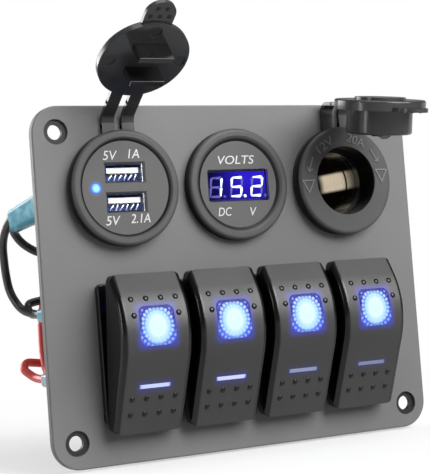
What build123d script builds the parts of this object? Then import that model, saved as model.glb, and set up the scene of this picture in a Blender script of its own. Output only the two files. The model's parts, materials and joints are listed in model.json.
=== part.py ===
from build123d import *
import os
from math import cos, radians, sin, tan

# Four-gang rocker switch panel with a dual USB charger, a voltmeter and a 12 V socket.
# Millimetres. The panel stands in the XZ plane, its front towards -Y and +Z up.
# Origin: centre of the corner-hole pattern, on the panel's back face.

# --- panel ---
panel_w = 140.0
panel_h = 113.5
panel_t = 2.5
panel_corner_r = 9.0
panel_edge_fillet = 0.5
mount_inset_x = 8.0
mount_inset_z = 8.25
mount_hole_r = 2.4
mount_sink_r = 4.0
mount_sink_depth = 1.0

# --- round devices, shared sizes ---
bezel_gap = 4.2
device_z = 30.0
bezel_r = 18.5
bezel_t = 3.6
meter_bezel_t = 4.0
bezel_fillet = 1.2
recess_r = 16.1
recess_depth = 1.0
barrel_r = 14.25
barrel_wall = 1.35
barrel_hole_gap = 0.25
face_plate_t = 1.2
face_plate_gap = 0.1
nut_rim = 3.25
nut_t = 6.0
nut_sides = 12
thread_gap = 0.1
cover_lip = 5.0
cover_wall = 1.6
cover_gap = 0.1
board_t = 1.6
board_gap = 0.1

# --- blades and insulated spade connectors ---
blade_w = 6.3
blade_t = 0.8
blade_len = 9.0
blade_root = 4.0
blade_slot_gap = 0.05
sleeve_w = 9.6
sleeve_t = 5.6
sleeve_len = 21.0
sleeve_tail_w = 8.0
sleeve_tail_t = 5.0
sleeve_corner_r = 1.6
sleeve_standoff = 0.8
sleeve_pocket_w = 7.4
sleeve_pocket_t = 2.8
sleeve_pocket_len = 12.0
receptacle_w = 7.1
receptacle_t = 2.2
receptacle_len = 8.0
receptacle_inset = 1.0
crimp_w = 2.0
crimp_gap = 0.3
wire_d = 3.0
wire_gap = 0.1
wire_pair = 1.6
wire_insert = 6.0
wire_exit = 9.0

# --- USB charger ---
usb_face_r = 15.0
usb_barrel_len = 28.0
usb_cover_len = 11.0
port_pitch = 9.45
port_w = 12.5
port_h = 5.1
port_wall = 0.3
port_len = 10.2
port_setback = 0.9
port_hole_gap = 0.1
port_bevel = 0.5
tongue_w = 11.1
tongue_t = 1.7
tongue_rise = 0.9
tongue_setback = 1.1
tongue_block = 1.4
contact_w = 1.0
contact_t = 0.2
contact_len = 6.6
contact_xs = (-3.5, -1.0, 1.0, 3.5)
indicator_margin = 1.0
indicator_r = 1.6
indicator_proud = 0.2
usb_blade_dx = 7.8
usb_splay = 15.0
usb_droop = 12.0
usb_splay_lift = 1.2

# --- voltmeter ---
meter_face_r = 14.4
meter_barrel_len = 18.0
meter_cover_len = 7.0
window_w = 22.8
window_h = 10.6
window_r = 0.8
window_t = 0.8
window_setback = 0.4
window_gap = 0.1
window_z = -0.3
display_t = 5.0
display_margin = 0.8
meter_blade_dx = 6.0

# --- 12 V socket ---
socket_mouth_r = 11.75
socket_mouth_depth = 8.6
socket_bore_r = 10.5
liner_wall = 0.6
liner_gap = 0.05
liner_len = 36.0
socket_barrel_len = 30.0
socket_cover_len = 16.0
insulator_t = 4.0
insulator_sink_r = 8.0
insulator_sink = 2.6
contact_head_r = 4.0
contact_head_t = 2.2
contact_shank_r = 1.6
socket_blade_dx = 8.0

# --- rubber caps ---
cap_ring_t = 1.4
cap_ring_gap = 0.35
cap_seat_gap = 0.3
cap_edge_fillet = 0.7
cap_badge_r = 8.4
cap_badge_t = 0.8
cap_tab_w = 10.0
cap_tab_reach = 7.9
cap_tab_t = 1.3
cap_arm_w = 4.3
cap_arm_pitch = 6.9
cap_arm_t = 1.3
cap_arm_start = 2.75
cap_root_top = 20.3
cap_bite = 2.0
cap_strap_t = 1.2
usb_disc_r = 14.7
usb_disc_t = 2.4
usb_hinge_forward = 4.6
usb_hinge_rise = 23.25
usb_open_deg = 126.0
usb_arm_offset = 1.7
usb_strap_bend_r = 3.8
plug_len = 6.6
plug_w = 11.2
plug_gap = 0.15
plug_end_fillet = 0.3
cap_dimple_r = 2.2
cap_dimple_depth = 0.4
cap_dimple_at = 11.8
socket_disc_r = 15.0
socket_disc_t = 3.3
socket_hinge_forward = 3.85
socket_hinge_rise = 24.3
socket_open_deg = 78.5
socket_arm_offset = 0.2
socket_strap_bend_r = 3.4
stopper_r = 10.8
stopper_len = 8.0
stopper_fillet = 0.8
nub_r = 2.0
nub_t = 0.8
nub_dx = -0.5

# --- rocker switches ---
switch_count = 4
switch_pitch = 26.8
switch_z = -21.8
flange_w = 24.8
flange_h = 44.0
flange_t = 2.2
flange_corner_r = 1.6
flange_fillet = 0.5
body_w = 20.8
body_h = 36.6
body_len = 35.0
body_wall = 1.2
body_floor = 2.5
cutout_gap = 0.2
rocker_w = 24.2
rocker_corner_r = 2.8
rocker_tilt = 7.0
rocker_base = 5.3
rocker_low_end = 24.3
rocker_high_end = 25.6
rocker_low_height = 9.3
rocker_high_height = 8.0
rocker_crest = (10.6, 20.0)
rocker_crest_r = 24.0
rocker_end_draft = 0.8
rocker_side_fillet = 2.0
rocker_shell = 1.9
rocker_hollow_low = 3.3
rocker_hollow_high = 4.7
skirt_w = 17.6
skirt_wall = 1.5
skirt_reach = 14.0
skirt_base = 1.0
pivot_pin_r = 1.25
pivot_gap = 0.05
pivot_pin_inset = 0.3
lug_half = 3.2
bridge_low = 2.6
bridge_high = 4.6
bridge_half = 3.0
plunger_r = 2.0
plunger_len = 16.0
lens_w = 12.1
lens_low = 4.0
lens_high = 16.1
lens_corner_r = 2.2
lens_chamfer = 1.8
lens_floor = 12.2
bar_floor = 9.8
lens_t = 2.4
lens_gap = 0.05
bar_w = 10.6
bar_h = 1.3
bar_s = -8.9
arm_w = 5.0
arm_len = 20.0
arm_t = 1.0
arm_tilt = 5.0
arm_clear = 0.45
arm_knuckle_r = 1.1
arm_button_r = 1.3
arm_button_t = 0.5
arm_button_s = 8.5
cradle_gap = 0.05
cradle_w = 4.0
cradle_wall = 1.0
lamp_board_y = 8.5
lamp_board_t = 1.2
lamp_board_gap = 0.1
lamp_slot_h = 9.0
lamp_slot_w = 8.0
lamp_led_s = 11.0
lamp_led_r = 1.5
lamp_led_len = 5.0
blade_column = 6.0
blade_rows = (13.4, 2.0, -9.4)

# --- wire routes between their ends ---
black_usb_to_switch = ((-56.2, 70.6, 19.0), (-55.0, 72.8, 8.0), (-54.2, 72.0, 0.5), (-51.6, 68.0, -6.4))
black_usb_to_meter = ((-50.8, 66.3, 18.0), (-45.3, 66.0, 14.2), (-36.0, 62.0, 12.0),
                      (-26.0, 58.0, 13.0), (-16.0, 56.0, 18.0), (-8.5, 55.5, 25.5))
black_switch_to_switch = ((-48.0, 69.0, -8.0), (-48.4, 71.5, -4.2), (-43.0, 71.0, -3.0),
                          (-36.0, 69.0, -3.6), (-27.0, 65.5, -5.6))
red_usb_to_switch = ((-34.5, 73.0, 24.0), (-37.0, 76.0, 12.0), (-39.5, 76.5, 0.0),
                     (-41.9, 74.5, -11.0), (-43.6, 70.5, -21.0), (-44.6, 66.0, -28.5))
red_switch_to_switch = ((-49.0, 66.5, -30.6), (-51.4, 71.0, -27.4), (-49.4, 73.0, -25.0),
                        (-42.0, 74.0, -26.0), (-33.0, 71.0, -27.6), (-25.0, 66.0, -29.6))

# --- places that follow from the sizes above ---
device_pitch = 2 * bezel_r + bezel_gap
usb_x = -device_pitch
socket_x = device_pitch
nut_r = barrel_r + nut_rim
wire_start_y = sleeve_standoff + sleeve_len - wire_insert
front_y = -panel_t
mount_dx = panel_w - 2 * mount_inset_x
mount_dz = panel_h - 2 * mount_inset_z
capped_back_y = front_y - cap_ring_t
capped_front_y = capped_back_y - bezel_t
meter_front_y = front_y - meter_bezel_t
barrel_bore_r = barrel_r - barrel_wall
indicator_dx = -(barrel_bore_r - indicator_r - indicator_margin)
usb_face_y = capped_front_y + recess_depth
usb_end_y = usb_barrel_len + usb_cover_len
meter_face_y = meter_front_y + recess_depth
meter_end_y = meter_barrel_len + meter_cover_len
socket_end_y = socket_barrel_len + socket_cover_len
shell_y = usb_face_y + port_setback
switch_xs = [(i - (switch_count - 1) / 2) * switch_pitch for i in range(switch_count)]
pivot_y = front_y
arm_pivot_y = pivot_y + plunger_len + arm_clear + arm_t + arm_knuckle_r


def rod(x, z, y0, y1, r):
    """Cylinder along Y."""
    return Pos(x, (y0 + y1) / 2, z) * Rot(90, 0, 0) * Cylinder(r, y1 - y0)


def ring(x, z, y0, y1, r_out, r_in):
    """Tube along Y."""
    return rod(x, z, y0, y1, r_out) - rod(x, z, y0 - 1, y1 + 1, r_in)


def cone(x, z, y0, y1, r0, r1):
    """Cone along Y, with radius r0 at y0 and r1 at y1."""
    return Pos(x, (y0 + y1) / 2, z) * Rot(90, 0, 0) * Cone(r1, r0, y1 - y0)


def block(x0, x1, y0, y1, z0, z1):
    """Box between two corners."""
    return Pos((x0 + x1) / 2, (y0 + y1) / 2, (z0 + z1) / 2) * Box(x1 - x0, y1 - y0, z1 - z0)


def slab(x, z, w, h, y0, y1):
    """Box centred on (x, z), w wide and h high, from y0 back to y1."""
    return Pos(x, (y0 + y1) / 2, z) * Box(w, y1 - y0, h)


def plate(sketch, x, z, y0, y1):
    """Outline drawn in XZ about (x, z), with its body from y0 back to y1."""
    return extrude(Plane((x, y1, z), x_dir=(1, 0, 0), z_dir=(0, -1, 0)) * sketch, amount=y1 - y0)


def save(name, solids):
    """Write one node as a STEP file."""
    shape = Compound(children=solids) if isinstance(solids, list) else solids
    export_step(shape, f"parts/{name}.step")


def front_rim(part, y, r):
    """Circular edges of the given radius in the plane at y."""
    return [e for e in part.edges().filter_by(GeomType.CIRCLE)
            if abs(e.radius - r) < 0.01 and abs(e.center(CenterOf.BOUNDING_BOX).Y - y) < 0.01]


# ---------------------------------------------------------------- panel

def panel():
    body = plate(RectangleRounded(panel_w, panel_h, panel_corner_r), 0, 0, front_y, 0)
    body = fillet(body.faces().sort_by(Axis.Y)[0].outer_wire().edges(), panel_edge_fillet)
    for x in (-device_pitch, 0, device_pitch):
        body -= rod(x, device_z, front_y - 1, 1, barrel_r + barrel_hole_gap)
    for x in switch_xs:
        body -= plate(Rectangle(body_w + 2 * cutout_gap, body_h + 2 * cutout_gap), x, switch_z,
                      front_y - 1, 1)
    for x in (-mount_dx / 2, mount_dx / 2):
        for z in (-mount_dz / 2, mount_dz / 2):
            body -= rod(x, z, front_y - 1, 1, mount_hole_r)
            body -= rod(x, z, front_y - 1, front_y + mount_sink_depth, mount_sink_r)
    return body


# ---------------------------------------------------------------- shared device pieces

def bezel_housing(x, y_front, y_back, face_r, barrel_len):
    """Flange with a dished front, and a barrel behind it, open at the rear."""
    flange = rod(x, device_z, y_front, y_back, bezel_r)
    flange = fillet(front_rim(flange, y_front, bezel_r), bezel_fillet)
    body = flange + rod(x, device_z, y_back, barrel_len, barrel_r)
    y_face = y_front + recess_depth
    body -= cone(x, device_z, y_front, y_face, recess_r, face_r)
    body -= rod(x, device_z, y_face - 0.01, y_face + face_plate_t, face_r)
    body -= rod(x, device_z, y_face, barrel_len + 1, barrel_bore_r)
    return body


def ring_nut(x):
    nut = plate(RegularPolygon(nut_r, nut_sides), x, device_z, 0, nut_t)
    return nut - rod(x, device_z, -1, nut_t + 1, barrel_r + thread_gap)


def rear_cover(x, y_barrel, length):
    """Cup that closes the barrel, with a lip inside its bore."""
    y_end = y_barrel + length
    body = rod(x, device_z, y_barrel, y_end, barrel_r)
    body += rod(x, device_z, y_barrel - cover_lip, y_barrel, barrel_bore_r - cover_gap)
    body -= rod(x, device_z, y_barrel - cover_lip - 1, y_end - cover_wall,
                barrel_bore_r - cover_gap - cover_wall)
    return body


def board(x, y):
    return rod(x, device_z, y, y + board_t, barrel_bore_r - board_gap)


def axis_frame(x, y, z, splay=0.0, droop=0.0, upright=False):
    """Frame of a blade: local Y runs out along the blade and local X is its width."""
    a, b = radians(splay), radians(droop)
    along = Vector(-sin(a) * cos(b), cos(a) * cos(b), -sin(b))
    up = Vector(0, 0, 1)
    side = along.cross(up).normalized()
    lift = side.cross(along).normalized()
    width = lift if upright else side
    return Plane((x, y, z), x_dir=width, z_dir=width.cross(along))


def in_frame(frame, shape):
    return frame.location * shape


def blade(frame):
    return in_frame(frame, slab(0, 0, blade_w, blade_t, -blade_root, blade_len))


def blade_slot(frame):
    gap = 2 * blade_slot_gap
    return in_frame(frame, slab(0, 0, blade_w + gap, blade_t + gap, -blade_root - 1, blade_len))


# ---------------------------------------------------------------- USB charger

port_zs = (device_z + port_pitch / 2, device_z - port_pitch / 2)
usb_frames = (axis_frame(usb_x - usb_blade_dx, usb_end_y + usb_splay_lift, device_z,
                         usb_splay, usb_droop, upright=True),
              axis_frame(usb_x + usb_blade_dx, usb_end_y, device_z, upright=True))


def usb_face():
    body = rod(usb_x, device_z, usb_face_y, usb_face_y + face_plate_t, usb_face_r - face_plate_gap)
    w, h = port_w + 2 * (port_wall + port_hole_gap), port_h + 2 * (port_wall + port_hole_gap)
    for z in port_zs:
        body -= plate(Rectangle(w, h), usb_x, z, usb_face_y - 1, usb_face_y + face_plate_t + 1)
        bevel = loft([Plane((usb_x, y, z), x_dir=(1, 0, 0), z_dir=(0, 1, 0)) * Rectangle(w + grow, h + grow)
                      for y, grow in ((usb_face_y, 2 * port_bevel), (usb_face_y + port_bevel, 0))])
        body -= bevel
    return body - rod(usb_x + indicator_dx, device_z, usb_face_y - 1, 0, indicator_r + board_gap)


def port_shell(z):
    y1 = shell_y + port_len
    tube = slab(usb_x, z, port_w + 2 * port_wall, port_h + 2 * port_wall, shell_y, y1)
    return tube - slab(usb_x, z, port_w, port_h, shell_y - 1, y1 + 1)


def port_tongue(z):
    """Tongue above the port's middle, on the block that fills the port's rear."""
    y1 = shell_y + port_len
    tongue = slab(usb_x, z + tongue_rise, tongue_w, tongue_t, shell_y + tongue_setback, y1)
    gap = 2 * port_hole_gap
    return tongue + slab(usb_x, z, port_w - gap, port_h - gap, y1 - tongue_block, y1)


def port_contacts(z):
    y0 = shell_y + tongue_setback + contact_w / 2
    under = z + tongue_rise - tongue_t / 2 - contact_t / 2
    return [slab(usb_x + dx, under, contact_w, contact_t, y0, y0 + contact_len) for dx in contact_xs]


def usb_indicator():
    x, y1 = usb_x + indicator_dx, shell_y + port_len
    lens = rod(x, device_z, usb_face_y - indicator_proud, y1, indicator_r)
    return fillet(front_rim(lens, usb_face_y - indicator_proud, indicator_r), indicator_proud)


def usb_charger():
    save("usb_housing", bezel_housing(usb_x, capped_front_y, capped_back_y, usb_face_r, usb_barrel_len))
    save("usb_face_plate", usb_face())
    save("usb_port_shells", [port_shell(z) for z in port_zs])
    save("usb_port_tongues", [port_tongue(z) for z in port_zs])
    save("usb_port_contacts", [c for z in port_zs for c in port_contacts(z)])
    save("usb_indicator_lens", usb_indicator())
    save("usb_circuit_board", board(usb_x, shell_y + port_len))
    cover = rear_cover(usb_x, usb_barrel_len, usb_cover_len)
    for frame in usb_frames:
        cover -= blade_slot(frame)
    save("usb_rear_cover", cover)
    save("usb_blades", [blade(frame) for frame in usb_frames])


# ---------------------------------------------------------------- voltmeter

meter_frames = tuple(axis_frame(dx, meter_end_y, device_z) for dx in (-meter_blade_dx, meter_blade_dx))
window_zc = device_z + window_z
window_y = meter_face_y + window_setback


def meter_face():
    body = rod(0, device_z, meter_face_y, meter_face_y + face_plate_t, meter_face_r - face_plate_gap)
    return body - plate(RectangleRounded(window_w, window_h, window_r), 0, window_zc,
                        meter_face_y - 1, meter_face_y + face_plate_t + 1)


def voltmeter():
    save("meter_housing", bezel_housing(0, meter_front_y, front_y, meter_face_r, meter_barrel_len))
    save("meter_face_plate", meter_face())
    pane = RectangleRounded(window_w - 2 * window_gap, window_h - 2 * window_gap, window_r - window_gap)
    save("meter_window", plate(pane, 0, window_zc, window_y, window_y + window_t))
    y0 = window_y + window_t
    module = Rectangle(window_w - 2 * display_margin, window_h - 2 * display_margin)
    save("meter_display", plate(module, 0, window_zc, y0, y0 + display_t))
    save("meter_circuit_board", board(0, y0 + display_t))
    cover = rear_cover(0, meter_barrel_len, meter_cover_len)
    for frame in meter_frames:
        cover -= blade_slot(frame)
    save("meter_rear_cover", cover)
    save("meter_blades", [blade(frame) for frame in meter_frames])


# ---------------------------------------------------------------- 12 V socket

liner_r = socket_bore_r + liner_wall
liner_y0 = capped_front_y + socket_mouth_depth
liner_y1 = liner_y0 + liner_len
socket_frame = axis_frame(socket_x - socket_blade_dx, socket_end_y, device_z)
socket_centre_frame = axis_frame(socket_x, socket_end_y, device_z)


def socket_housing():
    flange = rod(socket_x, device_z, capped_front_y, capped_back_y, bezel_r)
    flange = fillet(front_rim(flange, capped_front_y, bezel_r), bezel_fillet)
    body = flange + rod(socket_x, device_z, capped_back_y, socket_barrel_len, barrel_r)
    body -= rod(socket_x, device_z, capped_front_y - 1, liner_y0, socket_mouth_r)
    body -= rod(socket_x, device_z, liner_y0 - 1, socket_barrel_len + 1, liner_r + liner_gap)
    return body


def socket_cover():
    """Cup behind the barrel that also holds the liner's tail."""
    y_end = socket_end_y
    body = rod(socket_x, device_z, socket_barrel_len, y_end, barrel_r)
    body -= rod(socket_x, device_z, socket_barrel_len - 1, liner_y1 + insulator_t, liner_r + liner_gap)
    body -= rod(socket_x, device_z, liner_y1, y_end - cover_wall, socket_bore_r - cover_wall)
    for frame in (socket_frame, socket_centre_frame):
        body -= blade_slot(frame)
    return body


def socket_insulator():
    """Washer behind the liner, sunk in front to take the contact's head."""
    body = ring(socket_x, device_z, liner_y1, liner_y1 + insulator_t, liner_r, contact_shank_r + liner_gap)
    return body - rod(socket_x, device_z, liner_y1 - 1, liner_y1 + insulator_sink, insulator_sink_r)


def socket_contact():
    """Rivet-headed centre contact through the insulator, just behind the liner's end."""
    y1 = liner_y1 + insulator_sink
    head = rod(socket_x, device_z, y1 - contact_head_t, y1, contact_head_r)
    head = fillet(front_rim(head, y1 - contact_head_t, contact_head_r), contact_head_t / 2)
    return head + rod(socket_x, device_z, y1, socket_end_y - blade_root, contact_shank_r)


def power_socket():
    save("socket_housing", socket_housing())
    save("socket_liner", ring(socket_x, device_z, liner_y0, liner_y1, liner_r, socket_bore_r))
    save("socket_insulator", socket_insulator())
    save("socket_centre_contact", socket_contact())
    save("socket_rear_cover", socket_cover())
    save("socket_blades", [blade(frame) for frame in (socket_frame, socket_centre_frame)])


# ---------------------------------------------------------------- rubber caps

class Cap:
    """Rubber cap: a ring under the bezel, two bent straps and a hinged lid.

    The lid's frame has its origin on the hinge line, Y towards the disc and Z inwards.
    """

    def __init__(self, x, forward, rise, open_deg, disc_r, disc_t, face_y, arm_offset, bend_r):
        self.x = x
        self.hinge = (x, front_y - forward, device_z + rise)
        self.reach = rise
        self.inner = face_y - cap_seat_gap - self.hinge[1]
        self.seat = face_y - capped_front_y
        self.disc_r = disc_r
        self.disc_t = disc_t
        self.arm_offset = arm_offset
        self.bend_r = bend_r
        a = radians(open_deg)
        self.frame = Plane(self.hinge, x_dir=(1, 0, 0), z_dir=(0, cos(a), -sin(a)))

    def arm_xs(self):
        return (-cap_arm_pitch / 2, cap_arm_pitch / 2)

    def collar(self):
        body = ring(self.x, device_z, capped_back_y, front_y, bezel_r, barrel_r + cap_ring_gap)
        for dx in self.arm_xs():
            x = self.x + dx
            body += block(x - cap_arm_w / 2, x + cap_arm_w / 2, capped_back_y, front_y,
                          device_z + bezel_r - cap_bite, device_z + cap_root_top)
        return body

    def lid(self):
        """Disc with an outer badge, a grip tab and two arms, in the lid's frame."""
        disc = Pos(0, self.reach, self.inner - self.disc_t / 2) * Cylinder(self.disc_r, self.disc_t)
        disc = fillet(disc.edges().filter_by(GeomType.CIRCLE).sort_by(Axis.Z)[0], cap_edge_fillet)
        badge_z = self.inner - self.disc_t - cap_badge_t / 2
        disc += Pos(0, self.reach, badge_z) * Cylinder(cap_badge_r, cap_badge_t)
        tab_z = self.inner - self.seat - cap_tab_t
        tip_y = self.reach + self.disc_r + cap_tab_reach - cap_tab_w / 2
        disc += Pos(0, tip_y, tab_z + cap_tab_t / 2) * Cylinder(cap_tab_w / 2, cap_tab_t)
        disc += block(-cap_tab_w / 2, cap_tab_w / 2, self.reach + self.disc_r - cap_bite, tip_y,
                      tab_z, tab_z + cap_tab_t)
        arm_z = self.inner - self.arm_offset - cap_arm_t
        for dx in self.arm_xs():
            disc += block(dx - cap_arm_w / 2, dx + cap_arm_w / 2, cap_arm_start,
                          self.reach - self.disc_r + cap_bite, arm_z, arm_z + cap_arm_t)
        return disc

    def straps(self):
        """Two bands from the ring's roots, bent once, to the lid's arms."""
        root = Vector(0, (capped_back_y + front_y) / 2, device_z + cap_root_top)
        end = self.frame.from_local_coords(
            Vector(0, cap_arm_start, self.inner - self.arm_offset - cap_arm_t / 2))
        along = self.frame.y_dir
        knee_z = end.Z - (end.Y - root.Y) / along.Y * along.Z
        line = FilletPolyline((root.Y, root.Z), (root.Y, knee_z), (end.Y, end.Z), radius=self.bend_r)
        band = trace(line, cap_strap_t)
        straps = []
        for dx in self.arm_xs():
            x = self.x + dx - cap_arm_w / 2
            straps.append(extrude(Plane.YZ.offset(x) * band, amount=cap_arm_w))
        return straps


usb_cap = Cap(usb_x, usb_hinge_forward, usb_hinge_rise, usb_open_deg, usb_disc_r, usb_disc_t,
              usb_face_y, usb_arm_offset, usb_strap_bend_r)
socket_cap = Cap(socket_x, socket_hinge_forward, socket_hinge_rise, socket_open_deg, socket_disc_r,
                 socket_disc_t, capped_front_y, socket_arm_offset, socket_strap_bend_r)


def usb_lid():
    """Lid with three round moulding dimples in its inner face."""
    body = usb_cap.lid()
    for dx, dy in ((-cap_dimple_at, 0), (cap_dimple_at, 0), (0, cap_dimple_at)):
        body -= Pos(dx, usb_cap.reach + dy, usb_cap.inner) * Cylinder(cap_dimple_r, 2 * cap_dimple_depth)
    return in_frame(usb_cap.frame, body)


def usb_plugs():
    """One flat plug for each port, in the room under the port's tongue."""
    half_h = port_h / 2 - plug_gap
    under = contact_t + tongue_t / 2 + plug_gap - tongue_rise
    z0, z1 = usb_cap.inner, usb_cap.inner + plug_len
    solids = []
    for z in port_zs:
        middle = usb_cap.hinge[2] - z
        plug = block(-plug_w / 2, plug_w / 2, middle + under, middle + half_h, z0, z1)
        plug = fillet(plug.edges().group_by(Axis.Z)[-1], plug_end_fillet)
        solids.append(in_frame(usb_cap.frame, plug))
    return solids


def socket_lid():
    body = socket_cap.lid()
    y, z = socket_cap.reach, socket_cap.inner
    stopper = Pos(0, y, z + stopper_len / 2) * Cylinder(stopper_r, stopper_len)
    stopper = fillet(stopper.edges().filter_by(GeomType.CIRCLE).sort_by(Axis.Z)[-1], stopper_fillet)
    body += stopper
    body += Pos(nub_dx, y, z + stopper_len + nub_t / 2) * Cylinder(nub_r, nub_t)
    return in_frame(socket_cap.frame, body)


def rubber_caps():
    save("usb_cap_ring", usb_cap.collar())
    save("usb_cap_straps", usb_cap.straps())
    save("usb_cap_lid", usb_lid())
    save("usb_cap_plugs", usb_plugs())
    save("socket_cap_ring", socket_cap.collar())
    save("socket_cap_straps", socket_cap.straps())
    save("socket_cap_lid", socket_lid())


# ---------------------------------------------------------------- rocker switches

flange_y = front_y - flange_t


def switch_frames(x, z):
    """Frames of a switch's blades, left column first."""
    left = [axis_frame(x - blade_column, body_len, z + dz) for dz in blade_rows]
    right = [axis_frame(x + blade_column, body_len, z + dz) for dz in blade_rows[1:]]
    return left + right


def switch_housing(x):
    body = plate(RectangleRounded(flange_w, flange_h, flange_corner_r), x, switch_z, flange_y, front_y)
    body = fillet(body.faces().sort_by(Axis.Y)[0].outer_wire().edges(), flange_fillet)
    body += plate(Rectangle(body_w, body_h), x, switch_z, front_y, body_len)
    body -= plate(Rectangle(body_w - 2 * body_wall, body_h - 2 * body_wall), x, switch_z,
                  flange_y - 1, body_len - body_floor)
    pin_half = body_w / 2 - pivot_pin_inset + pivot_gap
    body -= Pos(x, pivot_y, switch_z) * Rot(0, 90, 0) * Cylinder(pivot_pin_r + pivot_gap, 2 * pin_half)
    for frame in switch_frames(x, switch_z):
        body -= blade_slot(frame)
    return body


def rocker_frame(x):
    """Rocker's frame: X up along the face, Y outwards, Z across; tilted top out."""
    a = radians(rocker_tilt)
    return Plane((x, pivot_y, switch_z), x_dir=(0, -sin(a), cos(a)), z_dir=(1, 0, 0))


def rocker_outline(inset):
    """Side view of the rocker's cap, shrunk inwards by inset."""
    low, high = rocker_low_end, rocker_high_end
    face = Polyline((-low, rocker_low_height), rocker_crest, (high, rocker_high_height),
                    (high - rocker_end_draft, rocker_base), (-low + rocker_end_draft, rocker_base),
                    (-low, rocker_low_height))
    sketch = make_face(face)
    crest = sketch.vertices().sort_by_distance((*rocker_crest, 0))[0]
    sketch = fillet(crest, rocker_crest_r)
    return offset(sketch, -inset, kind=Kind.INTERSECTION) if inset else sketch


def across(sketch, half):
    """Side view made solid, symmetric about the rocker's middle."""
    return Pos(0, 0, -half) * extrude(sketch, amount=2 * half, dir=(0, 0, 1))


def face_prism(sketch, middle, floor):
    """Prism from the given height out through the rocker's face."""
    return extrude(Plane((middle, floor, 0), x_dir=(1, 0, 0), z_dir=(0, 1, 0)) * sketch,
                   amount=rocker_crest[1] + 1 - floor)


def lens_prism(gap):
    """Square window, rounded at its upper corners and cut off at its lower ones."""
    sketch = Rectangle(lens_high - lens_low - 2 * gap, lens_w - 2 * gap)
    sketch = fillet(sketch.vertices().group_by(Axis.X)[-1], lens_corner_r - gap)
    sketch = chamfer(sketch.vertices().sort_by(Axis.X)[:2], lens_chamfer)
    return face_prism(sketch, (lens_low + lens_high) / 2, lens_floor)


def bar_prism(gap):
    return face_prism(Rectangle(bar_h - 2 * gap, bar_w - 2 * gap), bar_s, bar_floor)


def rocker():
    """Rocker in its own frame: cap, inner skirt, pivot lugs, bridge and plunger."""
    half = rocker_w / 2
    cap = across(rocker_outline(0), half)
    sides = [f for f in cap.faces() if abs(f.normal_at().Z) > 0.9]
    long_edges = [e for f in sides for e in f.edges()
                  if e.center().Y > rocker_low_height and abs(e.center().X) < rocker_high_end - 1]
    cap = fillet(long_edges, rocker_side_fillet)
    plan = RectangleRounded(rocker_low_end + rocker_high_end, rocker_w, rocker_corner_r)
    cap &= face_prism(plan, (rocker_high_end - rocker_low_end) / 2, 0)
    hollow = across(rocker_outline(rocker_shell), half - rocker_shell)
    hollow += block(-rocker_low_end + rocker_hollow_low, rocker_high_end - rocker_hollow_high,
                    rocker_base - 1, rocker_base + rocker_shell + lens_gap,
                    -half + rocker_shell, half - rocker_shell)
    shell = cap - hollow
    skirt_half = skirt_w / 2
    roof = across(rocker_outline(0), skirt_half)
    skirt = block(-skirt_reach, skirt_reach, skirt_base, rocker_crest[1], -skirt_half, skirt_half)
    skirt -= block(-skirt_reach + skirt_wall, skirt_reach - skirt_wall, skirt_base - 1, rocker_crest[1] + 1,
                   -skirt_half + skirt_wall, skirt_half - skirt_wall)
    skirt &= roof + block(-skirt_reach, skirt_reach, skirt_base, rocker_base + 1, -skirt_half, skirt_half)
    lug = block(-lug_half, lug_half, 0, bridge_high, -skirt_half, skirt_half)
    lug += Cylinder(lug_half, skirt_w)
    inner = skirt_half - skirt_wall
    lug -= block(-lug_half - 1, lug_half + 1, -lug_half - 1, bridge_high + 1, -inner, inner)
    body = shell + skirt + lug
    body += block(-bridge_half, bridge_half, bridge_low, bridge_high, -skirt_half, skirt_half)
    stem = Rot(90, 0, 0) * Cylinder(plunger_r, plunger_len + bridge_low - plunger_r)
    body += Pos(0, (bridge_low - plunger_len + plunger_r) / 2, 0) * stem
    body += Pos(0, -plunger_len + plunger_r, 0) * Sphere(plunger_r)
    body -= Cylinder(pivot_pin_r + pivot_gap, rocker_w)
    return body - lens_prism(0) - bar_prism(0)


def lenses():
    """Square lens and bar lens, flush with the rocker's face."""
    band = across(rocker_outline(0), rocker_w / 2) - across(rocker_outline(lens_t), rocker_w)
    return [lens for prism in (lens_prism(lens_gap), bar_prism(lens_gap))
            for lens in (band & prism).solids()]


def contact_arm(x):
    """See-saw contact under the plunger, tilted the other way from the rocker."""
    half_w, half_l, r = arm_w / 2, arm_len / 2, arm_knuckle_r
    arm = block(-half_l, half_l, r, r + arm_t, -half_w, half_w)
    arm += Cylinder(r, arm_w)
    arm += block(-r, r, 0, r, -half_w, half_w)
    for s in (-arm_button_s, arm_button_s):
        arm += Pos(s, r - arm_button_t / 2, 0) * Rot(90, 0, 0) * Cylinder(arm_button_r, arm_button_t)
    a = radians(-arm_tilt)
    return in_frame(Plane((x, arm_pivot_y, switch_z), x_dir=(0, -sin(a), cos(a)), z_dir=(1, 0, 0)), arm)


def arm_cradle(x):
    """Post on the housing floor with a groove that carries the arm's knuckle."""
    post = slab(x, switch_z, cradle_w, 2 * (arm_knuckle_r + cradle_wall), arm_pivot_y, body_len - body_floor)
    groove = Rot(0, 90, 0) * Cylinder(arm_knuckle_r + cradle_gap, cradle_w + 2)
    return post - Pos(x, arm_pivot_y, switch_z) * groove


def lamp_board(x):
    """Board across the housing, slotted for the plunger."""
    gap = 2 * (body_wall + lamp_board_gap)
    y1 = lamp_board_y + lamp_board_t
    body = slab(x, switch_z, body_w - gap, body_h - gap, lamp_board_y, y1)
    return body - slab(x, switch_z, lamp_slot_w, lamp_slot_h, lamp_board_y - 1, y1 + 1)


def lamp_leds(x):
    y0 = lamp_board_y - lamp_led_len
    leds = []
    for s in (-lamp_led_s, lamp_led_s):
        led = rod(x, switch_z + s, y0, lamp_board_y, lamp_led_r)
        leds.append(fillet(front_rim(led, y0, lamp_led_r), lamp_led_r * 0.8))
    return leds


def pivot_pin(x):
    length = body_w - 2 * pivot_pin_inset
    return Pos(x, pivot_y, switch_z) * Rot(0, 90, 0) * Cylinder(pivot_pin_r, length)


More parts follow.
